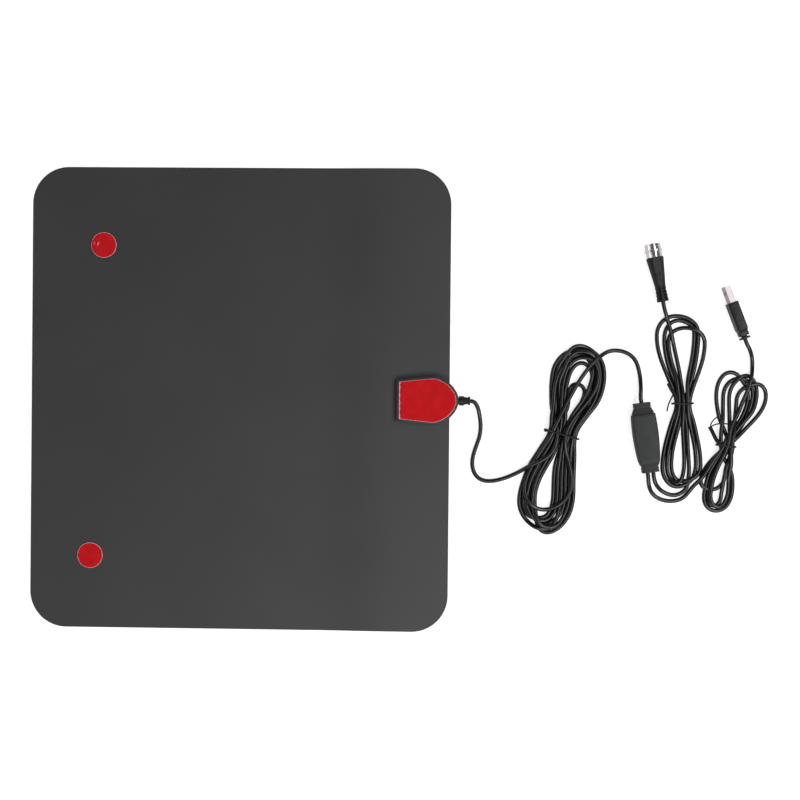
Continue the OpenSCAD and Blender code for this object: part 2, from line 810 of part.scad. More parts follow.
module feed_cord_box_run() { cord_tube(feed_box_route); }
module feed_cord_amp_run() { cord_tube(feed_amp_route); }
module tv_cord_amp_run() { cord_tube(tv_amp_route); }
module tv_cord_plug_run() { cord_tube(tv_plug_route); }
module power_cord_amp_run() { cord_tube(power_amp_route); }
module power_cord_plug_run() { cord_tube(power_plug_route); }
module feed_cord_hank() {
    hank(feed_hank_at, feed_hank_lean, feed_hank_waist, feed_hank_h, feed_lobes);
}
module feed_cord_tie() { tie(feed_hank_at, feed_hank_lean, feed_hank_waist, feed_hank_h); }
module tv_cord_hank() { hank(tv_hank_at, tv_hank_lean, tv_hank_waist, tv_hank_h, tv_lobes); }
module tv_cord_tie() { tie(tv_hank_at, tv_hank_lean, tv_hank_waist, tv_hank_h); }
module power_cord_hank() {
    hank(power_hank_at, power_hank_lean, power_hank_waist, power_hank_h, power_lobes);
}
module power_cord_tie() { tie(power_hank_at, power_hank_lean, power_hank_waist, power_hank_h); }

// The amplifier's own frame: its upper end at the origin, its length along -Y
module amp_place() {
    translate([amp_at[0], amp_at[1], 0]) rotate([0, 0, amp_lean]) children();
}

// The bowed body's outline, its long sides on arcs
module amp_outline(inset) {
    offset(delta = -inset)
    translate([0, amp_body_y])
    intersection() {
        square([amp_w, amp_body_l], center = true);
        translate([amp_w / 2 - amp_arc_r, 0]) circle(amp_arc_r, $fn = amp_arc_fn);
        translate([amp_arc_r - amp_w / 2, 0]) circle(amp_arc_r, $fn = amp_arc_fn);
    }
}

// A slab across the amplifier, from a station y back along its length
module amp_slab(y, l, w, h, r) {
    translate([0, y, amp_h / 2]) rotate([90, 0, 0]) linear_extrude(l) round_rect(w, h, r);
}

// The amplifier's outer shape
module amp_form() {
    low_y = -amp_l + amp_low_collar_l;
    hull() {
        translate([0, 0, amp_chamfer]) linear_extrude(amp_h - 2 * amp_chamfer) amp_outline(0);
        linear_extrude(amp_h) amp_outline(amp_chamfer);
    }
    hull() {
        amp_slab(-amp_top_collar_l, slab_l, amp_collar_w, amp_collar_h, amp_corner, $fn = hull_fn);
        amp_slab(-amp_top_collar_l - amp_shoulder_l, amp_chamfer, amp_end_w - amp_chamfer,
            amp_h - amp_chamfer, amp_corner, $fn = hull_fn);
    }
    amp_slab(0, amp_top_collar_l, amp_collar_w, amp_collar_h, amp_corner);
    amp_slab(low_y, amp_low_collar_l, amp_collar_w, amp_collar_h, amp_corner);
    for (y = [0, -amp_top_collar_l / 2 - amp_rib_w / 2, -amp_l + amp_rib_w, -amp_l + 3 * amp_rib_w])
        amp_slab(y, amp_rib_w, amp_collar_w + 2 * amp_rib_h, amp_collar_h + 2 * amp_rib_h,
            amp_rib_corner);
}

// The space inside the amplifier, and the bores for the three leads
module amp_space() {
    difference() {
        translate([0, 0, amp_wall]) linear_extrude(amp_h - 2 * amp_wall) amp_outline(amp_wall);
        for (s = [-1, 1])
            translate([s * (amp_board_w / 2) - (s < 0 ? amp_w : amp_ledge_w), amp_body_y, 0])
            translate([0, -amp_board_l / 2, 0])
            cube([amp_w + amp_ledge_w, amp_board_l, amp_board_z - board_t]);
    }
    translate([0, over, amp_h / 2]) rotate([90, 0, 0])
        cylinder(d = cord_d, h = over + amp_tail_l);
    for (s = [-1, 1])
        translate([s * amp_lead_gap / 2, -amp_l - over, amp_h / 2]) rotate([-90, 0, 0])
            cylinder(d = cord_d, h = over + amp_tail_l);
}

module amp_upper_shell() {
    color(film)
    amp_place()
    difference() {
        intersection() {
            amp_form();
            translate([-amp_w, -2 * amp_l, amp_h / 2]) cube([2 * amp_w, 3 * amp_l, amp_h]);
        }
        amp_space();
    }
}

module amp_lower_shell() {
    color(film)
    amp_place()
    difference() {
        intersection() {
            amp_form();
            translate([-amp_w, -2 * amp_l, 0]) cube([2 * amp_w, 3 * amp_l, amp_h / 2]);
        }
        amp_space();
    }
}

module amp_board() {
    color(board_green)
    amp_place()
    translate([-amp_board_w / 2, amp_body_y - amp_board_l / 2, amp_board_z - board_t])
        cube([amp_board_w, amp_board_l, board_t]);
}

// A wound choke: a core with a groove full of wire round its middle
module amp_choke() {
    color(ferrite)
    amp_place()
    translate([0, amp_body_y + amp_board_l / 4, amp_board_z])
    difference() {
        cylinder(d = choke_d, h = choke_h);
        translate([0, 0, (choke_h - choke_groove) / 2])
        difference() {
            cylinder(d = choke_d + over, h = choke_groove);
            translate([0, 0, -over]) cylinder(d = choke_neck, h = choke_groove + 2 * over);
        }
    }
}

module amp_transistor() {
    color(ferrite)
    amp_place()
    translate([-transistor_l / 2, amp_body_y - transistor_l / 4, amp_board_z])
        cube([transistor_l, transistor_l / 2, transistor_l / 3]);
}

// Chip capacitors in a row
module amp_capacitors() {
    color("#b08d5a")
    amp_place()
    for (i = [-1 : 1])
        translate([i * capacitor_pitch - capacitor_l / 4, amp_body_y - amp_board_l / 3, amp_board_z])
        cube([capacitor_l / 2, capacitor_l, capacitor_l / 2]);
}

module amp_input_tail() {
    color(black)
    amp_place()
    translate([0, 0, amp_h / 2]) rotate([90, 0, 0]) cord_tail(amp_tail_l);
}

module amp_output_tails() {
    color(black)
    amp_place()
    for (s = [-1, 1])
        translate([s * amp_lead_gap / 2, -amp_l, amp_h / 2]) rotate([-90, 0, 0])
            cord_tail(amp_tail_l);
}

// The coaxial plug's frame: the boot's end at the origin, its axis along Z of what is given
module plug_place() {
    translate([plug_at[0], plug_at[1], plug_z]) rotate([0, 0, plug_lean]) rotate([-90, 0, 0])
        children();
}

// The boot: a tapered moulding with two flats, two grip bars and a slotted relief
module plug_boot() {
    flat_back = boot_back_d / 2 - boot_flat / 2;
    flat_front = boot_front_d / 2 - boot_flat;
    bar_low = boot_relief_l + bar_set;
    bar_z = flat_back + (flat_front - flat_back) * bar_set / (boot_l - boot_relief_l);
    bar_tilt = atan((flat_front - flat_back) / (boot_l - boot_relief_l));
    color(black)
    plug_place()
    difference() {
        union() {
            difference() {
                rotate_extrude()
                polygon([
                    [0, 0], [boot_end_d / 2, 0], [boot_back_d / 2, boot_relief_l],
                    [boot_front_d / 2, boot_l], [0, boot_l]
                ]);
                for (s = [0, 1])
                    mirror([0, s, 0])
                    rotate([90, 0, 90])
                    linear_extrude(boot_front_d, center = true)
                    polygon([
                        [flat_back, boot_relief_l], [flat_front, boot_l + over],
                        [boot_front_d, boot_l + over], [boot_front_d, boot_relief_l]
                    ]);
            }
            for (s = [-1, 1])
                translate([s * bar_gap / 2 - bar_w / 2, -bar_z, bar_low])
                rotate([bar_tilt, 0, 0])
                translate([0, -bar_h, 0])
                cube([bar_w, 2 * bar_h, bar_l]);
        }
        for (i = [0 : relief_slots - 1])
            translate([0, 0, relief_web * (i + 1) + relief_slot * i])
            difference() {
                cylinder(d = boot_front_d, h = relief_slot);
                translate([0, 0, -over])
                    cylinder(d = boot_back_d - 2 * relief_depth, h = relief_slot + 2 * over);
                rotate([0, 0, 90 * (i % 2)])
                translate([-boot_front_d, -relief_slot / 2, -over])
                    cube([2 * boot_front_d, relief_slot, relief_slot + 2 * over]);
            }
        translate([0, 0, boot_l - post_root]) cylinder(d = post_d, h = post_root + over);
    }
}

// The metal post that holds the nut: a tube with a flange at its front
module plug_post() {
    color(metal)
    plug_place()
    difference() {
        union() {
            translate([0, 0, boot_l - post_root]) cylinder(d = post_d, h = face_y - boot_l + post_root);
            translate([0, 0, flange_y]) cylinder(d = flange_d, h = flange_t);
        }
        translate([0, 0, boot_l - post_root - over])
            cylinder(d = insulator_d, h = face_y - boot_l + post_root + 2 * over);
    }
}

module plug_insulator() {
    color(white)
    plug_place()
    difference() {
        translate([0, 0, boot_l - post_root]) cylinder(d = insulator_d, h = face_y - boot_l + post_root);
        translate([0, 0, boot_l - post_root - over])
            cylinder(d = pin_root_d, h = face_y - boot_l + post_root + 2 * over);
    }
}

module plug_pin() {
    color(gold)
    plug_place() {
        translate([0, 0, boot_l - post_root]) cylinder(d = pin_root_d, h = face_y - boot_l + post_root);
        translate([0, 0, face_y]) cylinder(d = pin_d, h = pin_tip_y - face_y);
        translate([0, 0, pin_tip_y]) cylinder(d1 = pin_d, d2 = pin_d / 2, h = pin_d / 2);
    }
}

// The nut: a hexagon with turned ends and a ring, bored from the front down to an inner lip
module coupling_nut() {
    end_cut = nut_r - nut_af / 2;
    color(metal)
    plug_place()
    translate([0, 0, nut_y])
    difference() {
        union() {
            intersection() {
                rotate([0, 0, 90]) cylinder(r = nut_r, h = nut_l, $fn = 6);
                rotate_extrude()
                polygon([
                    [0, 0], [nut_af / 2, 0], [nut_r, end_cut], [nut_r, nut_l - end_cut],
                    [nut_af / 2, nut_l], [0, nut_l]
                ]);
            }
            translate([0, 0, nut_l / 2 - nut_ring_w / 2]) cylinder(d = nut_ring_d, h = nut_ring_w);
        }
        translate([0, 0, nut_lip]) cylinder(d = nut_bore_d, h = nut_l);
        translate([0, 0, -over]) cylinder(d = post_d + 2 * nut_clear, h = nut_l);
    }
}

// The power plug's frame: the moulding's end at the origin, its axis along Z of what is given,
// its thickness along X and its width upright
module power_place() {
    translate([power_at[0], power_at[1], power_z]) rotate([0, 0, power_lean]) rotate([-90, 0, 0])
        children();
}

module power_plug_moulding() {
    grip_l = mould_l - mould_grip_y;
    rib_z = mould_l - grip_set - grip_ribs * grip_pitch;
    side_cut = [mould_t + 2 * over, grip_depth + over];
    color(black)
    power_place()
    difference() {
        union() {
            translate([0, 0, mould_grip_y]) linear_extrude(grip_l) round_rect(mould_t, mould_w, mould_r);
            hull() {
                translate([0, 0, mould_grip_y])
                    linear_extrude(slab_l)
                    round_rect(mould_t - mould_ease, mould_w - mould_ease, mould_r, $fn = hull_fn);
                translate([0, 0, mould_neck_l])
                    linear_extrude(slab_l)
                    round_rect(mould_neck_t, mould_neck_w, mould_r, $fn = hull_fn);
            }
            cylinder(d = mould_neck_d, h = mould_neck_l + slab_l);
            linear_extrude(mould_bar_t) round_rect(mould_neck_t, mould_bar_w, mould_bar_r);
            translate([0, 0, (mould_neck_l + mould_bar_t - mould_mid_l) / 2])
                linear_extrude(mould_mid_l) round_rect(mould_neck_t, mould_mid_w, mould_bar_r);
        }
        for (i = [0 : grip_ribs - 1], s = [-1, 1])
            translate([-mould_t / 2 - over, s * (mould_w / 2 - grip_depth / 2) - grip_depth / 2
                - (s < 0 ? over : 0), rib_z + i * grip_pitch])
            cube(concat(side_cut, [grip_pitch / 2]));
        for (s = [-1, 1])
            translate([-mould_t / 2 - over, s * (mould_w / 2 - grip_depth / 2) - grip_depth / 2
                - (s < 0 ? over : 0), mould_l - groove_set])
            cube(concat(side_cut, [2 * grip_depth]));
        translate([0, 0, mould_l - shell_in])
            linear_extrude(shell_in + over) round_rect(shell_t, shell_w, shell_corner + shell_wall);
    }
}

// The steel shell: a rectangular tube of sheet metal with two latch windows in each broad face
module power_plug_shell() {
    color(metal)
    power_place()
    difference() {
        translate([0, 0, mould_l - shell_in])
            linear_extrude(shell_in + shell_out)
            difference() {
                round_rect(shell_t, shell_w, shell_corner + shell_wall);
                round_rect(shell_t - 2 * shell_wall, shell_w - 2 * shell_wall, shell_corner);
            }
        for (s = [-1, 1])
            translate([-shell_t, s * latch_gap / 2 - latch_window / 2, mould_l + shell_out / 2])
            cube([2 * shell_t, latch_window, latch_window]);
    }
}

module power_plug_tongue() {
    color(white)
    power_place()
    translate([shell_t / 2 - shell_wall - tongue_t, -tongue_w / 2, mould_l - shell_in])
        cube([tongue_t, tongue_w, tongue_y - mould_l + shell_in]);
}

// The contacts on the tongue's face
module power_plug_contacts() {
    color(gold)
    power_place()
    for (i = [0 : contacts - 1])
        translate([shell_t / 2 - shell_wall - tongue_t - contact_t,
            (i - (contacts - 1) / 2) * contact_pitch - contact_w / 2, mould_l - shell_in])
        cube([contact_t, contact_w, tongue_y - mould_l + shell_in - contact_set]);
}

front_film();
back_film();
antenna_foil();
upper_pad_tape();
upper_pad_liner();
lower_pad_tape();
lower_pad_liner();
box_pad_tape();
box_pad_liner();
box_back_shell();
box_front_shell();
balun_board();
balun_core();
foil_rivets();
feed_cord_tail();
cord_gland();
feed_cord_box_run();
feed_cord_hank();
feed_cord_amp_run();
feed_cord_tie();
amp_upper_shell();
amp_lower_shell();
amp_board();
amp_choke();
amp_transistor();
amp_capacitors();
amp_input_tail();
amp_output_tails();
tv_cord_amp_run();
tv_cord_hank();
tv_cord_plug_run();
tv_cord_tie();
plug_boot();
plug_post();
plug_insulator();
plug_pin();
coupling_nut();
power_cord_amp_run();
power_cord_hank();
power_cord_plug_run();
power_cord_tie();
power_plug_moulding();
power_plug_shell();
power_plug_tongue();
power_plug_contacts();
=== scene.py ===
"""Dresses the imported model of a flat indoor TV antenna: a laminated sheet lying face down with its
junction box, a feed cord to a small in-line amplifier, and two leads with their plugs.

Shapes are worked out in millimetres and put into meshes in metres.
+X is right, +Y is up the sheet and +Z is up from the table, as in the solids.
"""

import bpy
import numpy as np
from bpy.props import FloatProperty, FloatVectorProperty, IntProperty, PointerProperty
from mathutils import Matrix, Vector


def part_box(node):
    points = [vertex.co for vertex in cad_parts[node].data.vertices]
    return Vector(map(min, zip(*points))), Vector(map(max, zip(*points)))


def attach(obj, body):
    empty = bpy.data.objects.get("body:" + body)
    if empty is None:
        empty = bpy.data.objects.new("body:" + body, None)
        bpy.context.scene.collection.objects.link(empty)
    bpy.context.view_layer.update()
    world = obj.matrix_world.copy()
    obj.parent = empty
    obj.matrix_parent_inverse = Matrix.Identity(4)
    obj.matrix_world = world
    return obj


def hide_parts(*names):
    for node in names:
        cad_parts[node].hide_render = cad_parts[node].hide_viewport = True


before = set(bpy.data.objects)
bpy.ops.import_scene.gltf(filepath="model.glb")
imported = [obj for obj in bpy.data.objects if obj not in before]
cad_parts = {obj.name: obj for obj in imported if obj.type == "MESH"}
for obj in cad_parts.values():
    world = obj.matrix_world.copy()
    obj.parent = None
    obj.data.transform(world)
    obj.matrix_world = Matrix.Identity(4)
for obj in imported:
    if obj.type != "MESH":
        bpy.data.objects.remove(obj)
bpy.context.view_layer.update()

bl_info = {
    "name": "Flat indoor TV antenna",
    "version": (1, 0, 0),
    "blender": (4, 5, 0),
    "location": "3D View > Sidebar > Antenna",
    "description": "Builds the visible pieces of a flat indoor TV antenna over its solids",
    "category": "Object",
}

MM = 0.001


# ---------------------------------------------------------------- numbers and grids

def linear(text):
    """An sRGB hex colour as linear red, green, blue and alpha."""
    c = np.array([int(text[i:i + 2], 16) for i in (1, 3, 5)]) / 255
    c = np.where(c <= 0.04045, c / 12.92, ((c + 0.055) / 1.055) ** 2.4)
    return (*c.tolist(), 1.0)


def unit(v):
    """Vectors scaled to length one."""
    return v / np.linalg.norm(v, axis=-1, keepdims=True)


def mm(metres):
    """A length property in millimetres."""
    return metres / MM


def laid(points, at, degrees, height=0.0):
    """Points of a piece's own frame, turned about the upright axis and moved to where it lies."""
    a = np.radians(degrees)
    x, y, z = np.moveaxis(np.asarray(points, float), -1, 0)
    return np.stack([at[0] + x * np.cos(a) - y * np.sin(a),
                     at[1] + x * np.sin(a) + y * np.cos(a), z + height], -1)


def stood(a, b, s, axis):
    """Rings of points (a, b), one ring a row, stood at the places s along an axis."""
    s = np.broadcast_to(np.asarray(s, float)[:, None], a.shape)
    return np.stack({"x": (s, a, b), "y": (a, s, b), "z": (a, b, s)}[axis], -1)


def rounded(w, h, r, per_corner=6):
    """Rings of a rectangle with round corners: a quarter circle of radius r in each corner.
    w, h and r hold one value a ring."""
    w, h, r = np.broadcast_arrays(*(np.atleast_1d(np.asarray(v, float)) for v in (w, h, r)))
    w, h, r = w[:, None], h[:, None], r[:, None]
    turn = np.radians((np.arange(4)[:, None] * 90 + np.linspace(0, 90, per_corner)).ravel())
    right = np.repeat([1, -1, -1, 1], per_corner)
    high = np.repeat([1, 1, -1, -1], per_corner)
    return right * (w / 2 - r) + r * np.cos(turn), high * (h / 2 - r) + r * np.sin(turn)


def turned(radius, sides=48):
    """Rings of circles, one radius a ring."""
    turn = np.linspace(0, 2 * np.pi, sides, endpoint=False)
    radius = np.asarray(radius, float)[:, None]
    return radius * np.cos(turn), radius * np.sin(turn)


def tube(path, radius, sides=12, across=(0, 0, 1), closed=False):
    """A round tube carried along a path: at each point a ring square to the path, whose first
    point lies sideways, square to the path and to the direction across."""
    ahead, behind = np.roll(path, -1, 0), np.roll(path, 1, 0)
    along = unit(ahead - behind if closed else np.gradient(path, axis=0))
    side = unit(np.cross(along, across))
    up = np.cross(side, along)
    turn = np.linspace(0, 2 * np.pi, sides, endpoint=False)[None, :, None]
    radius = np.broadcast_to(radius, len(path))[:, None, None]
    return path[:, None] + radius * (np.cos(turn) * side[:, None] + np.sin(turn) * up[:, None])


def curve(points, step=0.5):
    """A smooth line through points: a cubic between each two, whose slope at a point is that
    of the line between its neighbours, resampled at even steps."""
    p = np.asarray(points, float)
    slope = np.gradient(p, axis=0)
    t = np.linspace(0, 1, 24, endpoint=False)[None, :, None]
    a, b, ma, mb = p[:-1, None], p[1:, None], slope[:-1, None], slope[1:, None]
    line = ((2 * t**3 - 3 * t**2 + 1) * a + (t**3 - 2 * t**2 + t) * ma
            + (3 * t**2 - 2 * t**3) * b + (t**3 - t**2) * mb).reshape(-1, 3)
    return evenly(np.vstack([line, p[-1]]), step)


def evenly(line, step):
    """A line again, with its points an even step apart."""
    far = np.r_[0, np.cumsum(np.linalg.norm(np.diff(line, axis=0), axis=1))]
    at = np.linspace(0, far[-1], int(round(far[-1] / step)) + 1)
    return np.stack([np.interp(at, far, line[:, k]) for k in range(3)], 1)


def mesh_of(name, surfaces):
    """A mesh from grids of points. A grid is closed round its columns. Its first and last rows
    are capped, or joined to each other. Faces are turned so that each solid's volume is
    positive, which points them outwards. The UV map holds the share of the way round, and the
    distance along the rows in millimetres or the values given for them."""
    points, corners, counts, uvs, start = [], [], [], [], 0
    for grid, joined, along in surfaces:
        rows, cols = grid.shape[:2]
        r, c = np.meshgrid(np.arange(rows - (not joined)), np.arange(cols), indexing="ij")
        low, high, near, far = r * cols, (r + 1) % rows * cols, c, (c + 1) % cols
        quads = np.stack([low + near, low + far, high + far, high + near], -1).reshape(-1, 4)
        if along is None:
            along = np.linalg.norm(np.diff(grid, axis=0), axis=2).mean(1).cumsum()
            along = np.r_[0, along]
        along = np.r_[along, 2 * along[-1] - along[-2]]
        uv = np.stack([np.stack([c, c + 1, c + 1, c], -1) / cols,
                       along[np.stack([r, r, r + 1, r + 1], -1)]], -1).reshape(-1, 4, 2)
        flat = grid.reshape(-1, 3)
        caps = [] if joined else [np.arange(cols)[::-1], np.arange(cols) + (rows - 1) * cols]
        p = flat - flat.mean(0)
        fans = [quads[:, [0, 1, 2]], quads[:, [0, 2, 3]]] + [
            np.stack([np.full(cols - 2, q[0]), q[1:-1], q[2:]], -1) for q in caps]
        fans = np.vstack(fans)
        if (p[fans[:, 0]] * np.cross(p[fans[:, 1]], p[fans[:, 2]])).sum() < 0:
            quads, uv, caps = quads[:, ::-1], uv[:, ::-1], [q[::-1] for q in caps]
        points.append(flat)
        corners += [quads.ravel() + start, *(q + start for q in caps)]
        counts += [np.full(len(quads), 4), np.full(len(caps), cols)]
        uvs += [uv.reshape(-1, 2), *(np.stack([np.full(cols, 0.5), np.full(cols, v)], -1)
                                     for _, v in zip(caps, (along[0], along[-2])))]
        start += len(flat)
    points, corners = np.vstack(points) * MM, np.concatenate(corners)
    counts, uvs = np.concatenate(counts), np.vstack(uvs)
    mesh = bpy.data.meshes.new(name)
    mesh.vertices.add(len(points))
    mesh.loops.add(len(corners))
    mesh.polygons.add(len(counts))
    mesh.vertices.foreach_set("co", points.ravel())
    mesh.loops.foreach_set("vertex_index", corners.astype(np.int32))
    mesh.polygons.foreach_set("loop_start", (np.cumsum(counts) - counts).astype(np.int32))
    mesh.polygons.foreach_set("loop_total", counts.astype(np.int32))
    mesh.uv_layers.new(name="UVMap").data.foreach_set("uv", uvs.ravel())
    mesh.update(calc_edges=True)
    mesh.validate()
    return mesh


def solid(grid, joined=False, along=None):
    """A surface for a piece: a grid of rings, capped or joined end to end."""
    return grid, joined, along


def piece(name, surfaces, finish, stands_for=(), body="antenna", crease=32):
    """Puts surfaces into one object with its material, on its body and for its solids."""
    mesh = mesh_of(name, surfaces)
    mesh.materials.append(finish)
    mesh.shade_smooth()
    mesh.set_sharp_from_angle(angle=np.radians(crease))
    made = bpy.data.objects.new(name, mesh)
    bpy.context.scene.collection.objects.link(made)
    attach(made, body)
    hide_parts(*stands_for)
    return made


# ---------------------------------------------------------------- materials

def add(tree, kind, settings=None, inputs=None):
    """Adds a node, sets its properties, and sets or links its inputs by name or number."""
    made = tree.nodes.new(kind)
    for key, value in (settings or {}).items():
        setattr(made, key, value)
    for key, value in (inputs or {}).items():
        if isinstance(value, bpy.types.NodeSocket):
            tree.links.new(value, made.inputs[key])
        else:
            made.inputs[key].default_value = value
    return made


def material(name, colour, roughness, metallic=0.0, settings=None):
    """A material with its shader's own sockets set: returns it, its node tree and shader."""
    made = bpy.data.materials.new(name)
    made.use_nodes = True
    tree = made.node_tree
    shader = tree.nodes["Principled BSDF"]
    shader.inputs["Base Color"].default_value = colour
    shader.inputs["Roughness"].default_value = roughness
    shader.inputs["Metallic"].default_value = metallic
    for key, value in (settings or {}).items():
        shader.inputs[key].default_value = value
    return made, tree, shader


def coords(tree, output="Object"):
    """The piece's own coordinates, or its UV map."""
    return add(tree, "ShaderNodeTexCoord").outputs[output]


def noise(tree, size_mm, detail=2.0, where=None, stretch=None):
    """Noise whose grains are about size_mm across, on object coordinates in metres."""
    where = where or coords(tree)
    if stretch:
        where = add(tree, "ShaderNodeMapping", None, {"Vector": where, "Scale": stretch}).outputs[0]
    return add(tree, "ShaderNodeTexNoise", None,
               {"Vector": where, "Scale": 1 / (size_mm * MM), "Detail": detail}).outputs["Fac"]


def spread(tree, value, low, high, to_low, to_high):
    """A value mapped from one range to another, held at the ends."""
    return add(tree, "ShaderNodeMapRange", {"clamp": True}, {
        "Value": value, "From Min": low, "From Max": high, "To Min": to_low, "To Max": to_high
    }).outputs[0]


def blend(tree, share, a, b):
    """Two colours mixed by a share."""
    return add(tree, "ShaderNodeMix", {"data_type": "RGBA"}, {0: share, 6: a, 7: b}).outputs[2]


def reckon(tree, operation, a, b):
    """A sum, product or other reckoning with two values."""
    return add(tree, "ShaderNodeMath", {"operation": operation}, {0: a, 1: b}).outputs[0]


def shade(colour, share):
    """A colour darkened or lightened by a share."""
    return tuple(min(1, v * share) for v in colour[:3]) + (1.0,)


def tint(tree, shader, value, low, high, a, b):
    """Gives the shader colour a where a value is low, b where it is high."""
    tree.links.new(blend(tree, spread(tree, value, low, high, 0, 1), a, b),
                   shader.inputs["Base Color"])


def gloss(tree, shader, value, low, high, to_low, to_high):
    """Gives the shader one roughness where a value is low, another where it is high."""
    tree.links.new(spread(tree, value, low, high, to_low, to_high), shader.inputs["Roughness"])


def bump(tree, shader, height, deep_mm):
    """Gives the shader a bump from a height between 0 and 1, deep_mm deep."""
    tilt = add(tree, "ShaderNodeBump", None, {"Height": height, "Distance": deep_mm * MM})
    tree.links.new(tilt.outputs[0], shader.inputs["Normal"])


def film_matte(colour):
    """Matt black PET film, calendered and laminated over foil: a fine even grain scatters light
    into a soft sheen, and the colour is faintly cloudy."""
    made, tree, shader = material("pet_film_matt_laminated", colour, 0.5)
    tint(tree, shader, noise(tree, 70, 3), 0.35, 0.65, colour, shade(colour, 1.12))
    gloss(tree, shader, noise(tree, 6, 3), 0.3, 0.7, 0.49, 0.53)
    # The real grain is about 0.05 mm; it is drawn at 0.5 mm to show at all
    bump(tree, shader, noise(tree, 0.5, 1), 0.012)
    return made


def plastic_moulded(name, colour, roughness, grain_mm, deep_mm):
    """ABS moulded in a spark-eroded tool: a fine pebbled skin with a soft broad highlight."""
    made, tree, shader = material(name, colour, roughness,
                                  settings={"Specular IOR Level": 0.3})
    grain = noise(tree, grain_mm, 2)
    tint(tree, shader, noise(tree, 5, 3), 0.35, 0.65, shade(colour, 0.82), colour)
    gloss(tree, shader, grain, 0.3, 0.7, roughness - 0.05, roughness + 0.06)
    bump(tree, shader, grain, deep_mm)
    return made


def liner_red(colour, edge, scuffed_to=None):
    """Red silicone-coated PET liner on foam tape: glossy, faintly rippled by the foam under it,
    and pale at its cut edge. scuffed_to is how far, in metres along X, the edge is worn white."""
    made, tree, shader = material("pet_liner_glossy_on_tape", colour, 0.16,
                                  settings={"Coat Weight": 0.25, "Coat Roughness": 0.08})
    inward = add(tree, "ShaderNodeSeparateXYZ", None, {0: coords(tree, "UV")}).outputs[1]
    ragged = noise(tree, 1.1, 3)
    width = spread(tree, ragged, 0.35, 0.65, 0.02, 0.2)
    share = spread(tree, reckon(tree, "SUBTRACT", width, inward), -0.22, 0.12, 0, 1)
    if scuffed_to is not None:
        # The worn end: white chips up to a millimetre in from the cut edge
        x = add(tree, "ShaderNodeSeparateXYZ", None, {0: coords(tree)}).outputs[0]
        end = spread(tree, x, scuffed_to - 0.4 * MM, scuffed_to + 0.3 * MM, 1, 0)
        chips = spread(tree, noise(tree, 0.9, 3), 0.45, 0.65, 0.25, 1.3)
        worn = spread(tree, reckon(tree, "SUBTRACT", chips, inward), -0.15, 0.15, 0, 1)
        share = reckon(tree, "MAXIMUM", share, reckon(tree, "MULTIPLY", worn, end))
    body = blend(tree, spread(tree, noise(tree, 7, 2), 0.35, 0.65, 0, 1), colour,
                 shade(colour, 0.86))
    tint(tree, shader, share, 0, 1, body, edge)
    gloss(tree, shader, share, 0, 1, 0.14, 0.5)
    bump(tree, shader, noise(tree, 4, 2), 0.05)
    return made


def tape_foam(colour):
    """Double-sided polyethylene foam tape, die cut: pale, dull, with open cells at its edge."""
    made, tree, shader = material("pe_foam_tape_die_cut", colour, 0.75)
    cells = add(tree, "ShaderNodeTexVoronoi", None,
                {"Vector": coords(tree), "Scale": 1 / (0.35 * MM)}).outputs["Distance"]
    tint(tree, shader, cells, 0.1, 0.6, colour, shade(colour, 0.8))
    bump(tree, shader, cells, 0.08)
    return made


def jacket_pvc(colour):
    """Black PVC cord jacket, extruded: smooth and shiny, with faint streaks along the cord
    that break its highlight."""
    made, tree, shader = material("pvc_jacket_extruded", colour, 0.24)
    streaks = noise(tree, 1000, 2, coords(tree, "UV"), (7, 0.03, 1))
    gloss(tree, shader, streaks, 0.3, 0.7, 0.24, 0.32)
    tint(tree, shader, noise(tree, 9, 4), 0.5, 0.75, colour, shade(colour, 1.6))
    bump(tree, shader, noise(tree, 6, 2), 0.01)
    return made


def boot_pvc(colour):
    """Soft PVC moulded over a plug: satin, faintly pebbled, with a patchy grey bloom."""
    made, tree, shader = material("pvc_boot_moulded", colour, 0.4,
                                  settings={"Specular IOR Level": 0.3})
    bloom = noise(tree, 2.5, 3)
    tint(tree, shader, bloom, 0.45, 0.7, colour, shade(colour, 1.5))
    gloss(tree, shader, bloom, 0.3, 0.7, 0.36, 0.5)
    bump(tree, shader, noise(tree, 0.35, 2), 0.012)
    return made


def nickel_plated(colour, roughness):
    """Nickel-plated turned brass: bright, with fine turning lines and a few dull spots."""
    made, tree, shader = material("nickel_plated_turned", colour, roughness, 1.0)
    along = add(tree, "ShaderNodeSeparateXYZ", None, {0: coords(tree, "UV")}).outputs[1]
    lines = add(tree, "ShaderNodeTexNoise", {"noise_dimensions": "1D"},
                {"W": along, "Scale": 1 / 0.18, "Detail": 2.0}).outputs["Fac"]
    gloss(tree, shader, noise(tree, 1.4, 3), 0.4, 0.75, roughness, roughness + 0.16)
    bump(tree, shader, lines, 0.006)
    return made


def steel_drawn(colour):
    """Tinned sheet steel, stamped and folded: bright grey, with fine lines along the drawing."""
    made, tree, shader = material("tinned_steel_folded", colour, 0.42, 1.0)
    drawn = noise(tree, 1.2, 3, stretch=(6, 0.5, 6))
    gloss(tree, shader, drawn, 0.3, 0.7, 0.38, 0.48)
    bump(tree, shader, drawn, 0.008)
    return made


def plain_metal(name, colour, roughness, size_mm):
    """Plated or rolled metal for small parts: even colour, roughness broken by small stains."""
    made, tree, shader = material(name, colour, roughness, 1.0)
    stain = noise(tree, size_mm, 3)
    gloss(tree, shader, stain, 0.35, 0.7, roughness, roughness + 0.15)
    bump(tree, shader, stain, 0.01)
    return made


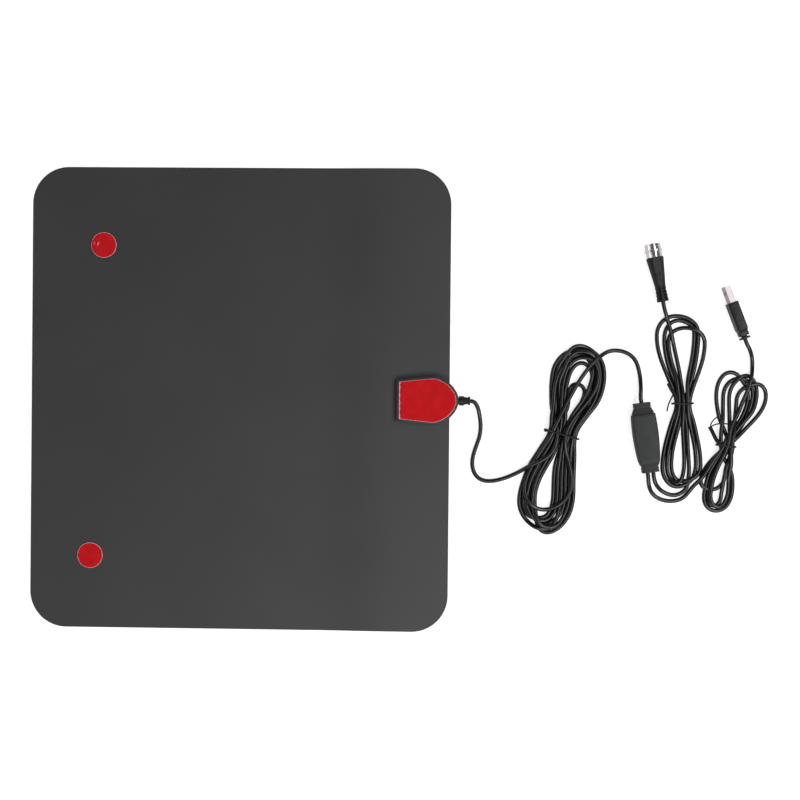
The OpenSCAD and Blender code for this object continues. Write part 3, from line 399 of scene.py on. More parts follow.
def speckled(name, colour, other, roughness, size_mm, deep_mm):
    """Laminate, sintered or fired stuff: two colours in fine grains, with a matching roughness."""
    made, tree, shader = material(name, colour, roughness)
    grain = noise(tree, size_mm, 3)
    tint(tree, shader, grain, 0.4, 0.62, colour, other)
    gloss(tree, shader, grain, 0.3, 0.7, roughness - 0.05, roughness + 0.08)
    bump(tree, shader, grain, deep_mm)
    return made


def dress(finish, slot, *nodes):
    """Gives solids that stay in sight their material."""
    for name in nodes:
        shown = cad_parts[name]
        shown.data.materials.clear()
        shown.data.materials.append(finish)


# ---------------------------------------------------------------- properties

def length(name, text, metres):
    """A length property."""
    return FloatProperty(name=name, description=text, default=metres, min=0, unit="LENGTH",
                         precision=5)


def paint(name, text, colour):
    """A colour property."""
    return FloatVectorProperty(name=name, description=text, subtype="COLOR", size=4, min=0, max=1,
                               default=linear(colour))


class SheetSettings(bpy.types.PropertyGroup):
    """The laminated sheet and its two round pads."""
    film: paint("Film colour", "Colour of the two matt films", "#313131")
    liner: paint("Liner colour", "Colour of the pads' red liners", "#c4161c")
    liner_edge: paint("Liner edge", "Colour of the liners' cut and worn edge", "#e9a4a9")
    foam: paint("Tape colour", "Colour of the foam tape's edge", "#c9a5a4")
    corner: length("Corner radius", "Radius of the sheet's corners", 0.026)
    rise_length: length("Rise", "Length over which the sheet rises to the box", 0.060)
    liner_curl: length("Liner curl", "How far the liners' edges turn down", 0.00003)


class BoxSettings(bpy.types.PropertyGroup):
    """The junction box and its gland."""
    plastic: paint("Box colour", "Colour of the two shells", "#3a3b3c")
    gland: paint("Gland colour", "Colour of the cord gland", "#161617")
    length_over: length("Length", "Length of the box from its flat end to its nose", 0.0442)
    end_width: length("End width", "Width of the box at its flat end", 0.0296)
    width: length("Width", "Width of the box at its widest place", 0.0349)
    flare: length("Flare", "Distance from the flat end to the widest place", 0.0249)
    nose_power: FloatProperty(name="Nose power", description="2 makes the nose an ellipse",
                              default=1.83)
    chamfer: length("Chamfer", "Chamfer round the shells' outer faces", 0.0008)
    pad_inset: length("Pad inset", "Inset of the pad from the top face's edge", 0.0010)


class CordSettings(bpy.types.PropertyGroup):
    """The three cords and the wire ties round their hanks."""
    jacket: paint("Jacket colour", "Colour of the cords", "#0b0b0c")
    tie: paint("Tie colour", "Colour of the wire ties", "#161617")
    diameter: length("Diameter", "Diameter of the cords", 0.003)
    tie_diameter: length("Tie diameter", "Diameter of the wire ties", 0.0013)
    settling: IntProperty(name="Settling", description="Steps of letting the strands settle",
                          default=240, min=0)


class AmplifierSettings(bpy.types.PropertyGroup):
    """The in-line amplifier."""
    plastic: paint("Housing colour", "Colour of the two housing shells", "#2e2f30")
    height: length("Height", "Height of the housing", 0.013)
    width: length("Width", "Width of the housing at its middle", 0.0168)
    end_width: length("End width", "Width of the housing at its ends", 0.0149)
    seam: length("Seam", "Depth of the groove where the shells meet", 0.0004)


class CoaxialPlugSettings(bpy.types.PropertyGroup):
    """The coaxial plug: boot, post, insulator, pin and coupling nut."""
    boot: paint("Boot colour", "Colour of the moulded boot", "#131314")
    nickel: paint("Nickel colour", "Colour of the plating", "#e2dedd")
    insulator: paint("Insulator colour", "Colour of the insulator", "#eceae4")
    pin: paint("Pin colour", "Colour of the pin", "#d6a85a")
    boot_length: length("Boot length", "Length of the boot", 0.0314)
    nut_length: length("Nut length", "Length of the coupling nut", 0.0098)
    nut_flats: length("Nut flats", "Width across the nut's flats", 0.0110)
    thread_pitch: length("Thread pitch", "Pitch of the thread in the nut", 0.00079)


class PowerPlugSettings(bpy.types.PropertyGroup):
    """The power plug."""
    moulding: paint("Moulding colour", "Colour of the moulding", "#171718")
    steel: paint("Steel colour", "Colour of the steel shell", "#bdb6b7")
    tongue: paint("Tongue colour", "Colour of the tongue", "#e9e7e0")
    contact: paint("Contact colour", "Colour of the contacts", "#d6b25c")
    length_over: length("Length", "Length of the moulding", 0.0272)
    thickness: length("Thickness", "Thickness of the moulding", 0.0076)
    width: length("Width", "Width of the moulding, upright as it lies", 0.0136)
    rib_pitch: length("Rib pitch", "Distance from rib to rib", 0.0013)


class StageSettings(bpy.types.PropertyGroup):
    """Floor, lights and camera."""
    floor: paint("Floor colour", "Colour of the floor", "#b4b4b4")
    backdrop: paint("Backdrop colour", "Colour of the world", "#ffffff")
    world_strength: FloatProperty(name="World strength", description="Even light from all round",
                                  default=0.08, min=0)
    wall_strength: FloatProperty(name="Wall strength", description="Light from low all round",
                                 default=0.9, min=0)
    lens: FloatProperty(name="Lens", description="Focal length on a 36 mm sensor, in millimetres",
                        default=72)


class AntennaSettings(bpy.types.PropertyGroup):
    """All settings of the antenna."""
    sheet: PointerProperty(type=SheetSettings)
    box: PointerProperty(type=BoxSettings)
    cords: PointerProperty(type=CordSettings)
    amplifier: PointerProperty(type=AmplifierSettings)
    coaxial: PointerProperty(type=CoaxialPlugSettings)
    power: PointerProperty(type=PowerPlugSettings)
    stage: PointerProperty(type=StageSettings)


# ---------------------------------------------------------------- stage

# Where the camera stands and how it is turned, solved from the sheet's outline in the photo
CAMERA_AT, CAMERA_TURN = (0.14360, 0.00883, 1.14103), (-0.00731357411, 0.0318221660, 0.00936769)
# Strip boxes right and front draw a line of light along the cords, a weaker one on the left
# lights the walls that face it, and none mirrors in the sheet or its pads:
# name, place, width and length in metres, and watts
LAMPS = (("light_right", (0.80, -0.12, 1.15), 0.6, 1.4, 12.0),
         ("light_front", (0.25, -0.90, 1.15), 0.5, 1.4, 9.5),
         ("light_left", (-1.05, 0.30, 0.90), 0.4, 1.2, 2.4))
LIT_PLACE = (0.14, 0.0, 0.0)  # what the lamps are aimed at


class ANTENNA_OT_stage(bpy.types.Operator):
    """Camera, floor, world and soft studio lights"""
    bl_idname = "antenna.stage"
    bl_label = "Stage"

    def execute(self, context):
        s = context.scene.antenna.stage
        camera = bpy.data.objects.new("camera", bpy.data.cameras.new("camera"))
        camera.data.sensor_width = 36
        camera.data.lens = s.lens
        camera.data.clip_end = 20
        camera.location = CAMERA_AT
        camera.rotation_euler = CAMERA_TURN
        context.scene.collection.objects.link(camera)
        context.scene.camera = camera
        context.scene.view_settings.view_transform = "Standard"

        floor_mesh = bpy.data.meshes.new("floor")
        reach, under = 3.0, -0.0002
        floor_mesh.from_pydata([(-reach, -reach, under), (reach, -reach, under),
                                (reach, reach, under), (-reach, reach, under)], [], [(0, 1, 2, 3)])
        floor = bpy.data.objects.new("floor", floor_mesh)
        context.scene.collection.objects.link(floor)
        # White seamless paper: dull and even, as bright to the eye as it is on the photo, and
        # bright enough in the metal parts to lighten the sides they turn to it
        made, tree, shader = material("paper_seamless_white", s.floor, 0.9,
                                      settings={"Specular IOR Level": 0.0})
        path = add(tree, "ShaderNodeLightPath")
        # Far from the object, where the lamps don't reach, it glows by itself
        far = add(tree, "ShaderNodeVectorMath", {"operation": "LENGTH"}, {0: coords(tree)})
        level = spread(tree, far.outputs["Value"], 0.8, 1.6, 0.78, 1.0)
        seen = reckon(tree, "MULTIPLY", level, path.outputs["Is Camera Ray"])
        mirrored = reckon(tree, "MULTIPLY", path.outputs["Is Glossy Ray"], 0.3)
        glow = reckon(tree, "MAXIMUM", seen, mirrored)
        shader.inputs["Emission Color"].default_value = (1, 1, 1, 1)
        tree.links.new(glow, shader.inputs["Emission Strength"])
        floor_mesh.materials.append(made)

        world = bpy.data.worlds.new("studio")
        context.scene.world = world
        world.use_nodes = True
        tree = world.node_tree
        tree.nodes["Background"].inputs["Color"].default_value = s.backdrop
        # White walls low round the table, a dim room above them, and white to the camera
        height = add(tree, "ShaderNodeSeparateXYZ", None, {0: coords(tree)}).outputs[2]
        walls = spread(tree, height, 0.22, 0.30, s.wall_strength, s.world_strength)
        path = add(tree, "ShaderNodeLightPath")
        tree.links.new(reckon(tree, "MAXIMUM", walls, path.outputs["Is Camera Ray"]),
                       tree.nodes["Background"].inputs["Strength"])

        for name, place, wide, long, watts in LAMPS:
            lamp = bpy.data.lights.new(name, "AREA")
            lamp.shape = "RECTANGLE"
            lamp.size = wide
            lamp.size_y = long
            lamp.energy = watts
            light = bpy.data.objects.new(name, lamp)
            light.location = place
            aim = np.array(LIT_PLACE) - np.array(place)
            away = np.linalg.norm(aim)
            light.rotation_euler = (0, float(np.arccos(-aim[2] / away)),
                                    float(np.arctan2(-aim[1], -aim[0])))
            context.scene.collection.objects.link(light)
        return {"FINISHED"}


# ---------------------------------------------------------------- cords

LAYERS = (2.3, 4.9, 7.5)  # heights of the three layers of strands in a tie
STRIDE = 1.5  # distance between the points of a cord while it settles
QUARTER = 0.5523  # length of a cubic's handle, as a share of a quarter ellipse's half axis


def in_tie(at, degrees, places):
    """Places of strands in a tie: each is [sideways, layer] from the middle of the tie."""
    return [laid([u, 0, LAYERS[layer]], at, degrees) for u, layer in places]


def wound(head, slots, loops, tail):
    """The line of a wound cord through its head's points, then slot, loop, slot, ... and its
    tail's points, as cubic curves. A loop is three points, its first side, tip and second side.
    The line runs straight along the hank at a side and straight across it at a tip, and between
    them the curves have the handles of a quarter ellipse."""
    middle, kinds = [], []
    for i, slot in enumerate(slots):
        middle.append(slot)
        kinds.append("slot")
        if i < len(loops):
            middle += list(loops[i])
            kinds += ["side", "tip", "side"]
    p = np.array([*head, *middle, *tail], float)
    kind = np.array(["free"] * len(head) + kinds + ["free"] * len(tail))
    ahead, behind = np.vstack([p[1:], p[-1:]]), np.vstack([p[:1], p[:-1]])
    to_tip = np.r_[kind[1:] == "tip", False]
    slope = unit(ahead - behind)
    side, tip = kind == "side", kind == "tip"
    rise = np.where(to_tip, ahead[:, 1] - p[:, 1], p[:, 1] - behind[:, 1])
    slope[side] = np.stack([0 * rise, np.sign(rise), 0 * rise], 1)[side]
    cross = np.sign(ahead[:, 0] - behind[:, 0])
    slope[tip] = np.stack([cross, 0 * cross, 0 * cross], 1)[tip]
    a, b, ka, kb = p[:-1], p[1:], kind[:-1], kind[1:]
    dx, dy, far = *np.abs(b - a)[:, :2].T, np.linalg.norm(b - a, axis=1)
    turns = [(ka == "side") & (kb == "tip"), (ka == "tip") & (kb == "side"), kb == "side",
             ka == "side"]
    out = np.select(turns, [QUARTER * dy, QUARTER * dx, 0.3 * far, 0.42 * dy], far / 3)
    back = np.select(turns, [QUARTER * dx, QUARTER * dy, 0.42 * dy, 0.3 * far], far / 3)
    q, r = a + slope[:-1] * out[:, None], b - slope[1:] * back[:, None]
    t = np.linspace(0, 1, 48, endpoint=False)[None, :, None]
    a, b, q, r = (v[:, None] for v in (a, b, q, r))
    line = (1 - t)**3 * a + 3 * (1 - t)**2 * t * q + 3 * (1 - t) * t * t * r + t**3 * b
    return evenly(np.vstack([line.reshape(-1, 3), p[-1]]), STRIDE)


def settled(lines, held, ties, diameter, steps):
    """Cords let to settle under their weight. In each step, strands that lie in each other are
    pushed apart, everything sinks a little and is drawn back sideways to its place, firmly so
    near its place in a tie, the table holds it up, and the movement is smoothed along each cord.
    Held points don't move. At the end each cord is smoothed."""
    start = np.vstack(lines)
    near_tie = np.concatenate([np.linalg.norm(line[:, None] - np.array(tie)[None], axis=2).min(1)
                               for line, tie in zip(lines, ties)])
    grip = 0.25 * np.exp(-(near_tie / 5) ** 2)[:, None]
    p, n, count = start.copy(), len(start), [len(line) for line in lines]
    cord, index = np.repeat(np.arange(len(lines)), count), np.arange(n)
    fixed = np.concatenate(held)
    free = ~fixed
    same = np.r_[False, cord[1:] == cord[:-1]]
    before = np.where(same, index - 1, index)
    after = np.where(np.r_[same[1:], False], index + 1, index)
    apart = int(np.ceil(1.6 * diameter / STRIDE))
    for step in range(steps):
        if step % 8 == 0:
            q = p.astype(np.float32)
            square = (q * q).sum(1)
            close = square[:, None] + square[None] - 2 * q @ q.T < (diameter + 1.6) ** 2
            close &= (cord[:, None] != cord) | (np.abs(index[:, None] - index) > apart)
            i, j = np.nonzero(np.triu(close, 1))
        gap = p[i] - p[j]
        wide = np.maximum(np.linalg.norm(gap, axis=1), 1e-6)
        hit = wide < diameter
        a, b = i[hit], j[hit]
        push = (0.5 * (diameter - wide[hit]) / wide[hit])[:, None] * gap[hit]
        moved = np.stack([np.bincount(a, push[:, k], n) - np.bincount(b, push[:, k], n)
                          for k in range(3)], 1)
        times = np.bincount(a, minlength=n) + np.bincount(b, minlength=n)
        p = p + moved / np.maximum(times, 1)[:, None] * 1.4 * free[:, None]
        p += grip * (start - p)
        p[:, :2] += 0.02 * (start - p)[:, :2]
        p[:, 2] -= 0.04 * free
        shift = p - start
        for _ in range(2):
            shift = (0.25 * shift[before] + 0.5 * shift + 0.25 * shift[after]) * free[:, None]
        p = start + shift
        p[:, 2] = np.maximum(p[:, 2], diameter / 2)
    for _ in range(3):
        p = np.where(free[:, None], 0.25 * p[before] + 0.5 * p + 0.25 * p[after], p)
    return np.split(p, np.cumsum(count)[:-1])


def between(pair, share):
    """A place between an outer and an inner one."""
    outer, inner = np.array(pair, float)
    return outer + (inner - outer) * share


def feed_line():
    """The feed cord: from the gland in an S over the table into a hank of seven turns, and from
    the hank's top in an arch to the amplifier. Turns run from outer to inner places by shares."""
    at, degrees = (222.5, -22.1), -8.9
    left = np.array([0, 2, 1, 3, 0.5, 1.5, 2.5]) / 3
    right = np.array([1.5, 3, 0, 2, 2.5, 0.5, 1]) / 3
    ups = in_tie(at, degrees, [(-3.4, 2), (-3.3, 0), (-6.6, 0), (0, 0), (-8.4, 1), (-5.1, 1),
                               (-1.8, 1), (-6.2, 2)])
    downs = in_tie(at, degrees, [(6.6, 0), (3.3, 0), (9.9, 0), (5.1, 1), (1.7, 1), (8.4, 1),
                                 (2.8, 2)])
    slots, loops = [], []
    # How far in the tips lie at the upper and the lower end
    upper_tips, lower_tips = (0.13, 0, 0.01, 0.99, 0.5, 0.26, 0.62), (0.6, 1, 0.03, 0.2, 0.8, 0.4)
    for k in range(7):
        height = 1.5 + 0.5 * k
        upper = [between([(216, 6.9), (223.9, 7)], left[k]),
                 between([(233.9, 38.8), (237.6, 28.4)], upper_tips[k]),
                 between([(250.7, 17.2), (242.4, 22)], right[k])]
        if k == 1:
            upper = [(224.4, 4), (231.4, 12.8), (239.5, 6)]
        onward = left[(k + 1) % 7]
        lower = [(229.5, -58), (209.7, -76.8), (196.8, -62)] if k == 6 else [
            between([(230.3, -63.8), (218.6, -66)], right[k]),
            between([(213.3, -92.6), (209, -83.4)], lower_tips[k]),
            between([(193.1, -72.5), (203, -70.5)], onward)]
        slots += [ups[k], downs[k]]
        loops += [[(*q, height) for q in upper], [(*q, height) for q in lower]]
    head = [(157.3, 0, 4.3), (159.6, -0.4, 4.3), (161.6, -2.4, 4.1), (163.1, -5.7, 3.7),
            (164.1, -10, 3), (164.9, -15.5, 2.1), (165, -19.5, 1.7), (164.3, -25, 1.5),
            (162, -32, 1.5), (159.8, -39, 1.5),
            (159.2, -45, 1.5), (160.6, -51, 1.5), (164.5, -55.5, 1.5), (171, -57, 1.5),
            (180, -55.5, 1.5), (190, -51.7, 2.2), (199.5, -47, 5), (207.1, -42.8, 8),
            (213.8, -38, 8.6), (217.8, -31.5, 8.2)]
    tail = [(222, -8.5, 7.5), (231.2, 9.4, 6.5), (239.9, 22.6, 6.5), (246.4, 30.2, 6),
            (253.8, 35.5, 3.5), (260.5, 36.8, 1.5), (268, 35.1, 1.5), (273.8, 30.4, 1.9),
            (277, 21.5, 3), (277.8, 13, 5), (277.55, 3.76, 6.5), (278.1, -0.2, 6.5)]
    return wound(head, [*slots, ups[7]], loops, tail), [*slots, ups[7]]


def loops_of(*tables):
    """Loops from a table of each loop's upper three places and lower three, row by row."""
    loops = []
    for k, (upper, lower) in enumerate(zip(*tables)):
        height = 1.5 + 0.6 * k
        loops += [[(*q, height) for q in upper], [(*q, height) for q in lower]]
    return loops


def tv_line():
    """The lead to the coaxial plug: under the amplifier, into a hank of three turns, and on."""
    at, degrees = (308, -0.5), 1.3
    ups = in_tie(at, degrees, [(1.5, 0), (2.9, 1), (4.5, 0), (0.1, 1)])
    downs = in_tie(at, degrees, [(-4.5, 0), (-1.5, 0), (-3.0, 1)])
    upper = [[(317.8, 46.1), (301, 61.2), (289, 47.9)],
             [(315.9, 51.2), (304.6, 59), (294.8, 47)],
             [(322.9, 42.1), (309.7, 53.4), (297, 43)]]
    lower = [[(294, -46), (305.5, -58.9), (317.6, -43.5)],
             [(300.2, -44.5), (306.3, -55.8), (321, -44.8)],
             [(297, -45), (305, -57.4), (309.6, -42)]]
    head = [(286.96, -48.84, 6.5), (287.5, -52.8, 6.5), (288.8, -57, 5.4), (291.8, -61, 3.6),
            (296.2, -64, 2.2), (301.5, -65.2, 1.5), (306.5, -63.6, 1.5), (310.5, -58, 1.5),
            (312.6, -48, 1.5), (311, -28, 1.5)]
    tail = [(305.8, 18.7, 4.5), (303.0, 32.2, 4.5), (298.9, 48.4, 4.5), (295.7, 59.9, 5.2),
            (294.4, 63.9, 6), (293.38, 67.48, 6.4), (292.6, 71.4, 6.4)]
    slots = [s for pair in zip(ups, downs) for s in pair] + [ups[3]]
    return wound(head, slots, loops_of(upper, lower), tail), slots


def power_line():
    """The lead to the power plug: under the amplifier, into a hank of four turns that cross in
    the tie like a figure of eight, and on."""
    at, degrees = (338.7, -30.6), -13
    ups = in_tie(at, degrees, [(-2.5, 2), (0, 0), (-1.5, 1), (1.5, 1), (0.1, 2)])
    downs = in_tie(at, degrees, [(3, 0), (-4.1, 1), (4.1, 1), (2.8, 2)])
    upper = [[(354, 4.9), (341.3, 22.2), (331.5, 6.3)],
             [(357.2, 6), (347.4, 17.4), (336.2, 4.7)],
             [(359.6, 9.4), (352.4, 19.6), (340.5, 4.7)],
             [(366.4, 5.6), (359.8, 13.9), (345.8, 1.7)]]
    lower = [[(338.4, -51.9), (328.8, -61.4), (321.4, -54.4)],
             [(342.6, -59.7), (332.4, -75.7), (325.2, -66.2)],
             [(335.2, -66.5), (330.4, -73.2), (325.6, -67.5)],
             [(341, -61), (333.5, -73.6), (327.1, -66)]]
    head = [(283, -49.4, 6.5), (283.5, -53.3, 6.5), (284, -57.5, 5.4), (285.6, -62.4, 3.6),
            (289.2, -66.6, 2), (295, -69.2, 1.5), (302, -69.6, 1.5), (308.6, -67.4, 1.5),
            (315, -60, 3), (321.6, -53, 5), (327.8, -43.6, 6.5)]
    tail = [(341.5, -19.8, 7), (346.6, -6.8, 6), (351.4, 5.5, 5), (354.2, 13.4, 5),
            (355.9, 20.5, 5), (356.6, 26, 3.2), (356.2, 32.4, 3.6), (354.2, 37.6, 5.4),
            (351.73, 41.87, 6.8), (350.3, 45.6, 6.8)]
    slots = [s for pair in zip(ups, downs) for s in pair] + [ups[4]]
    return wound(head, slots, loops_of(upper, lower), tail), slots


def tie_ring(at, degrees, half_width, top, radius):
    """A wire round a bundle: a flat oval with round corners, standing across the hank."""
    a, b = rounded([2 * half_width], [top - radius], [2.2], 10)
    ring = np.stack([a[0], 0.25 * np.sin(a[0]), b[0] + (top + radius) / 2], -1)
    ring = evenly(np.vstack([ring, ring[:1]]), 0.5)[:-1]
    way = laid([0, 1, 0], (0, 0), degrees)
    return solid(tube(laid(ring, at, degrees), radius, 8, way, closed=True), joined=True)


def twisted(points, radius, pitch):
    """Two wires twisted together along a line: each winds round it as a helix."""
    line = curve(points, 0.35)
    along = unit(np.gradient(line, axis=0))
    side = unit(np.cross(along, (0, 0, 1)))
    up = np.cross(side, along)
    turn = (np.arange(len(line)) * 0.35 / pitch * 2 * np.pi)[:, None]
    wires = [line + 1.1 * radius * (np.cos(turn + s) * side + np.sin(turn + s) * up)
             for s in (0, np.pi)]
    return [solid(tube(w, radius, 8)) for w in wires]


class ANTENNA_OT_cords(bpy.types.Operator):
    """The feed cord and the two leads, wound into hanks and let to settle"""
    bl_idname = "antenna.cords"
    bl_label = "Cords"

    def execute(self, context):
        s = context.scene.antenna.cords
        d = mm(s.diameter)
        lines, held, ties = [], [], []
        for line, slots in (feed_line(), tv_line(), power_line()):
            ends = np.zeros(len(line), bool)
            ends[:7] = ends[-7:] = True
            lines.append(line)
            held.append(ends)
            ties.append(slots)
        lines = settled(lines, held, ties, d, s.settling)
        jacket = jacket_pvc(s.jacket)
        tie_pvc = boot_pvc(s.tie)
        tie_pvc.name = "pvc_coated_tie_wire"
        runs = (("feed_cord", "box", "amp"), ("tv_cord", "amp", "plug"),
                ("power_cord", "amp", "plug"))
        for (name, start, end), line in zip(runs, lines):
            # Every other point and the last carry the smooth line
            line = curve(np.vstack([line[:-1:2], line[-1:]]), 1.1)
            made = piece(name, [solid(tube(line, d / 2, 14))], jacket,
                         [f"{name}_{start}_run", f"{name}_hank", f"{name}_{end}_run"])
            made["line"] = (line * MM).ravel().tolist()
        r = mm(s.tie_diameter) / 2
        piece("feed_tie", [
            tie_ring((222.5, -23.0), -15.2, 12.2, 9.3, r),
            *twisted([(211.5, -20.2, 6.4), (210.9, -20.2, 5.2), (210.8, -19.8, 4.0)], r, 2.2),
        ], tie_pvc, ["feed_cord_tie"])
        piece("tv_tie", [
            tie_ring((307.4, -0.4), 0.5, 7.4, 6.9, r),
            *twisted([(303.6, 0.5, 7.0), (301.4, 5.6, 6.6), (299.0, 10.0, 5.2),
                      (297.2, 13.6, 4.2)], r * 1.1, 2.6),
            solid(tube(curve([(300.8, 6.6, 6.4), (299.3, 3.4, 5.6), (297.7, -1.0, 3.0),
                              (297.0, -6.0, 0.7)]), r * 0.8, 8)),
        ], tie_pvc, ["tv_cord_tie"])
        piece("power_tie", [
            tie_ring((338.0, -30.0), -6.5, 6.6, 9.3, r),
            *twisted([(333.0, -29.0, 8.0), (330.4, -24.6, 6.2), (328.6, -20.4, 4.4),
                      (327.0, -17.0, 3.2)], r * 1.15, 2.6),
            solid(tube(curve([(327.2, -17.4, 3.2), (327.6, -14.6, 3.8), (329.2, -11.8, 4.6),
                              (331.6, -9.6, 5.4)]), r * 0.75, 8)),
            solid(tube(curve([(327.0, -17.6, 3.4), (328.9, -15.6, 5.0), (332.4, -14.4, 6.6),
                              (336.0, -14.2, 6.8), (339.4, -14.6, 6.0)]), r * 0.75, 8)),
        ], tie_pvc, ["power_cord_tie"])
        return {"FINISHED"}


def declare_cords():
    """Takes off the line stored on each of the three cords, once the pieces on them are there."""
    amplifier = ("amp_upper_shell_skin", "amp_lower_shell_skin")
    coaxial = ("plug_boot_skin", "plug_post_skin", "plug_insulator_skin", "plug_pin_skin",
               "coupling_nut_skin")
    power = ("power_plug_moulding_skin", "power_plug_shell", "power_plug_tongue",
             "power_plug_contacts")
    for name, end, way, pieces in (
        ("feed_cord", (0.1573, 0, 0.0043), "fitting", (*amplifier, "feed_tie")),
        ("tv_cord", (0.28696, -0.04884, 0.0065), "connector", (*coaxial, "tv_tie")),
        ("power_cord", (0.283, -0.0494, 0.0065), "plug", (*power, "power_tie")),
    ):
        cord = bpy.data.objects[name]
        del cord["line"]


# ---------------------------------------------------------------- sheet and pads

def sheet_height(x, rise_start, rise_length, rise):
    """Height of the sheet's underside: level, then an S of two parabolas up to the box."""
    s = np.clip((x - rise_start) / rise_length, 0, 1)
    return rise * np.where(s < 0.5, 2 * s * s, 1 - 2 * (1 - s) ** 2)


class ANTENNA_OT_sheet(bpy.types.Operator):
    """The two laminated films of the sheet"""
    bl_idname = "antenna.sheet"
    bl_label = "Sheet"

    def execute(self, context):
        s = context.scene.antenna.sheet
        low, high = (np.array(c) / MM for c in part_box("back_film"))
        box_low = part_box("box_back_shell")[0].x / MM
        corner, thick, ease, rise = mm(s.corner), 0.35, 0.1, 2.0
        height = high[1] - low[1]
        # Stations across the sheet: close together in the corners and on the rise
        bend = np.cos(np.linspace(0, np.pi / 2, 25))
        x = np.unique(np.round(np.concatenate([
            low[0] + corner * (1 - bend), high[0] - corner * (1 - bend),
            np.linspace(low[0] + corner, high[0] - corner, 40),
            np.linspace(box_low - mm(s.rise_length), box_low, 25)]), 4))
        inside = np.clip(np.maximum(low[0] + corner - x, x - high[0] + corner), 0, corner)
        half = height / 2 - corner + np.sqrt(corner ** 2 - inside ** 2)
        lift = sheet_height(x, box_low - mm(s.rise_length), mm(s.rise_length), rise)
        finish = film_matte(s.film)
        for name, base, node in (("back_film_skin", thick, "back_film"),
                                 ("front_film_skin", 0.0, "front_film")):
            # Each ring is the section of a thin slab with eased edges
            span = np.r_[-1, -0.997, np.linspace(-0.98, 0.98, 13), 0.997, 1]
            top = span[None] * (half[:, None] - ease)
            n = len(x)
            upper = np.full((n, len(span)), thick / 2)
            # The edge's four points on the right, downwards; the left has them upwards
            out = half[:, None] - ease * np.array([0.3, 0, 0, 0.3])
            down = np.tile([thick / 2 - ease * 0.3, thick / 2 - ease, ease - thick / 2,
                            ease * 0.3 - thick / 2], (n, 1))
            across = np.concatenate([top, out, top[:, ::-1], -out], 1)
            up = np.concatenate([upper, down, -upper, down[:, ::-1]], 1)
            up = up + thick / 2 + base + lift[:, None]
            grid = stood(across, up, x, "x")
            piece(name, [solid(grid)], finish, [node], crease=20)
        dress(plain_metal("aluminium_foil_rolled", linear("#c8c9cb"), 0.3, 12), "foil",
              "antenna_foil")
        return {"FINISHED"}


def disc_grid(radius, low, top, dome, sides=96):
    """A thin disc: rings from the middle of its underside out to its rim and back over its top,
    which is raised by dome at the middle and turned down at the rim."""
    r = np.concatenate([[0.3, radius * 0.6, radius - 0.05], radius * np.array([1.0, 1.0]),
                        radius - np.array([0.06, 0.2, 0.5]), np.linspace(radius - 0.9, 0.2, 26)])
    inner = np.clip(1 - (r / radius) ** 2, 0, 1)
    z = np.where(np.arange(len(r)) < 3, low, top - 0.05 + dome * inner)
    z[3], z[4] = low + 0.02, top - 0.05
    a, b = turned(r, sides)
    away = np.where(np.arange(len(r)) < 5, 0.0, radius - r)
    return a, b, z, away


class ANTENNA_OT_pads(bpy.types.Operator):
    """The two round adhesive pads with their red liners"""
    bl_idname = "antenna.pads"
    bl_label = "Round pads"

    def execute(self, context):
        s = context.scene.antenna.sheet
        red = liner_red(s.liner, s.liner_edge)
        foam = tape_foam(s.foam)
        # Where each liner's ripples start, and the place, lean and height of a bubble under it
        for name, dips, bubble, lean, lifted in (("upper", (1.9, 0.6), (-4.9, 0.9), -16, 0.7),
                                                 ("lower", (0.4, 2.2), (2.4, -4.2), 40, 0.12)):
            low, high = (np.array(c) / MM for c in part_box(f"{name}_pad_tape"))
            middle, radius = (low + high) / 2, (high[0] - low[0]) / 2
            r = np.array([0.3, radius - 0.1, radius, radius, radius - 0.05, 0.3])
            z = np.array([low[2], low[2], low[2] + 0.06, high[2] - 0.04, high[2], high[2]])
            a, b = turned(r, 96)
            piece(f"{name}_pad_tape_skin", [solid(laid(stood(a, b, z, "z"), middle, 0))],
                  foam, [f"{name}_pad_tape"])
            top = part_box(f"{name}_pad_liner")[1].z / MM
            a, b, z, away = disc_grid(radius - 0.12, high[2], top, 0.02)
            grid = stood(a, b, z, "z")
            # The liner ripples over the foam, and one side of its rim turns down
            turn = np.arctan2(b, a)
            rim = np.clip((np.hypot(a, b) / radius - 0.55) / 0.45, 0, 1) ** 2
            ripple = 0.03 * np.sin(a / 2.1 + dips[0]) * np.cos(b / 2.7 + dips[1]) - mm(
                s.liner_curl) * rim * (1 + np.cos(turn - dips[0] - dips[1])) / 2
            face = slice(5, None)  # the rings of the upper side, from the rim inwards
            grid[face, :, 2] = np.clip((grid[..., 2] + ripple)[face], high[2] + 0.03, top)
            # The bubble is a bell, 2.8 mm long each way and steeper on its right
            u, v = laid(grid - [*bubble, 0], (0, 0), -lean)[..., :2].transpose(2, 0, 1)
            u = np.where(u > 0, u / 1.2, u / 2.4)
            grid[face, :, 2] += lifted * np.exp(-u ** 2 - (v / 2.8) ** 2)[face]
            piece(f"{name}_pad_liner_skin", [solid(laid(grid, middle, 0), along=away)],
                  red, [f"{name}_pad_liner"])
        return {"FINISHED"}


# ---------------------------------------------------------------- junction box

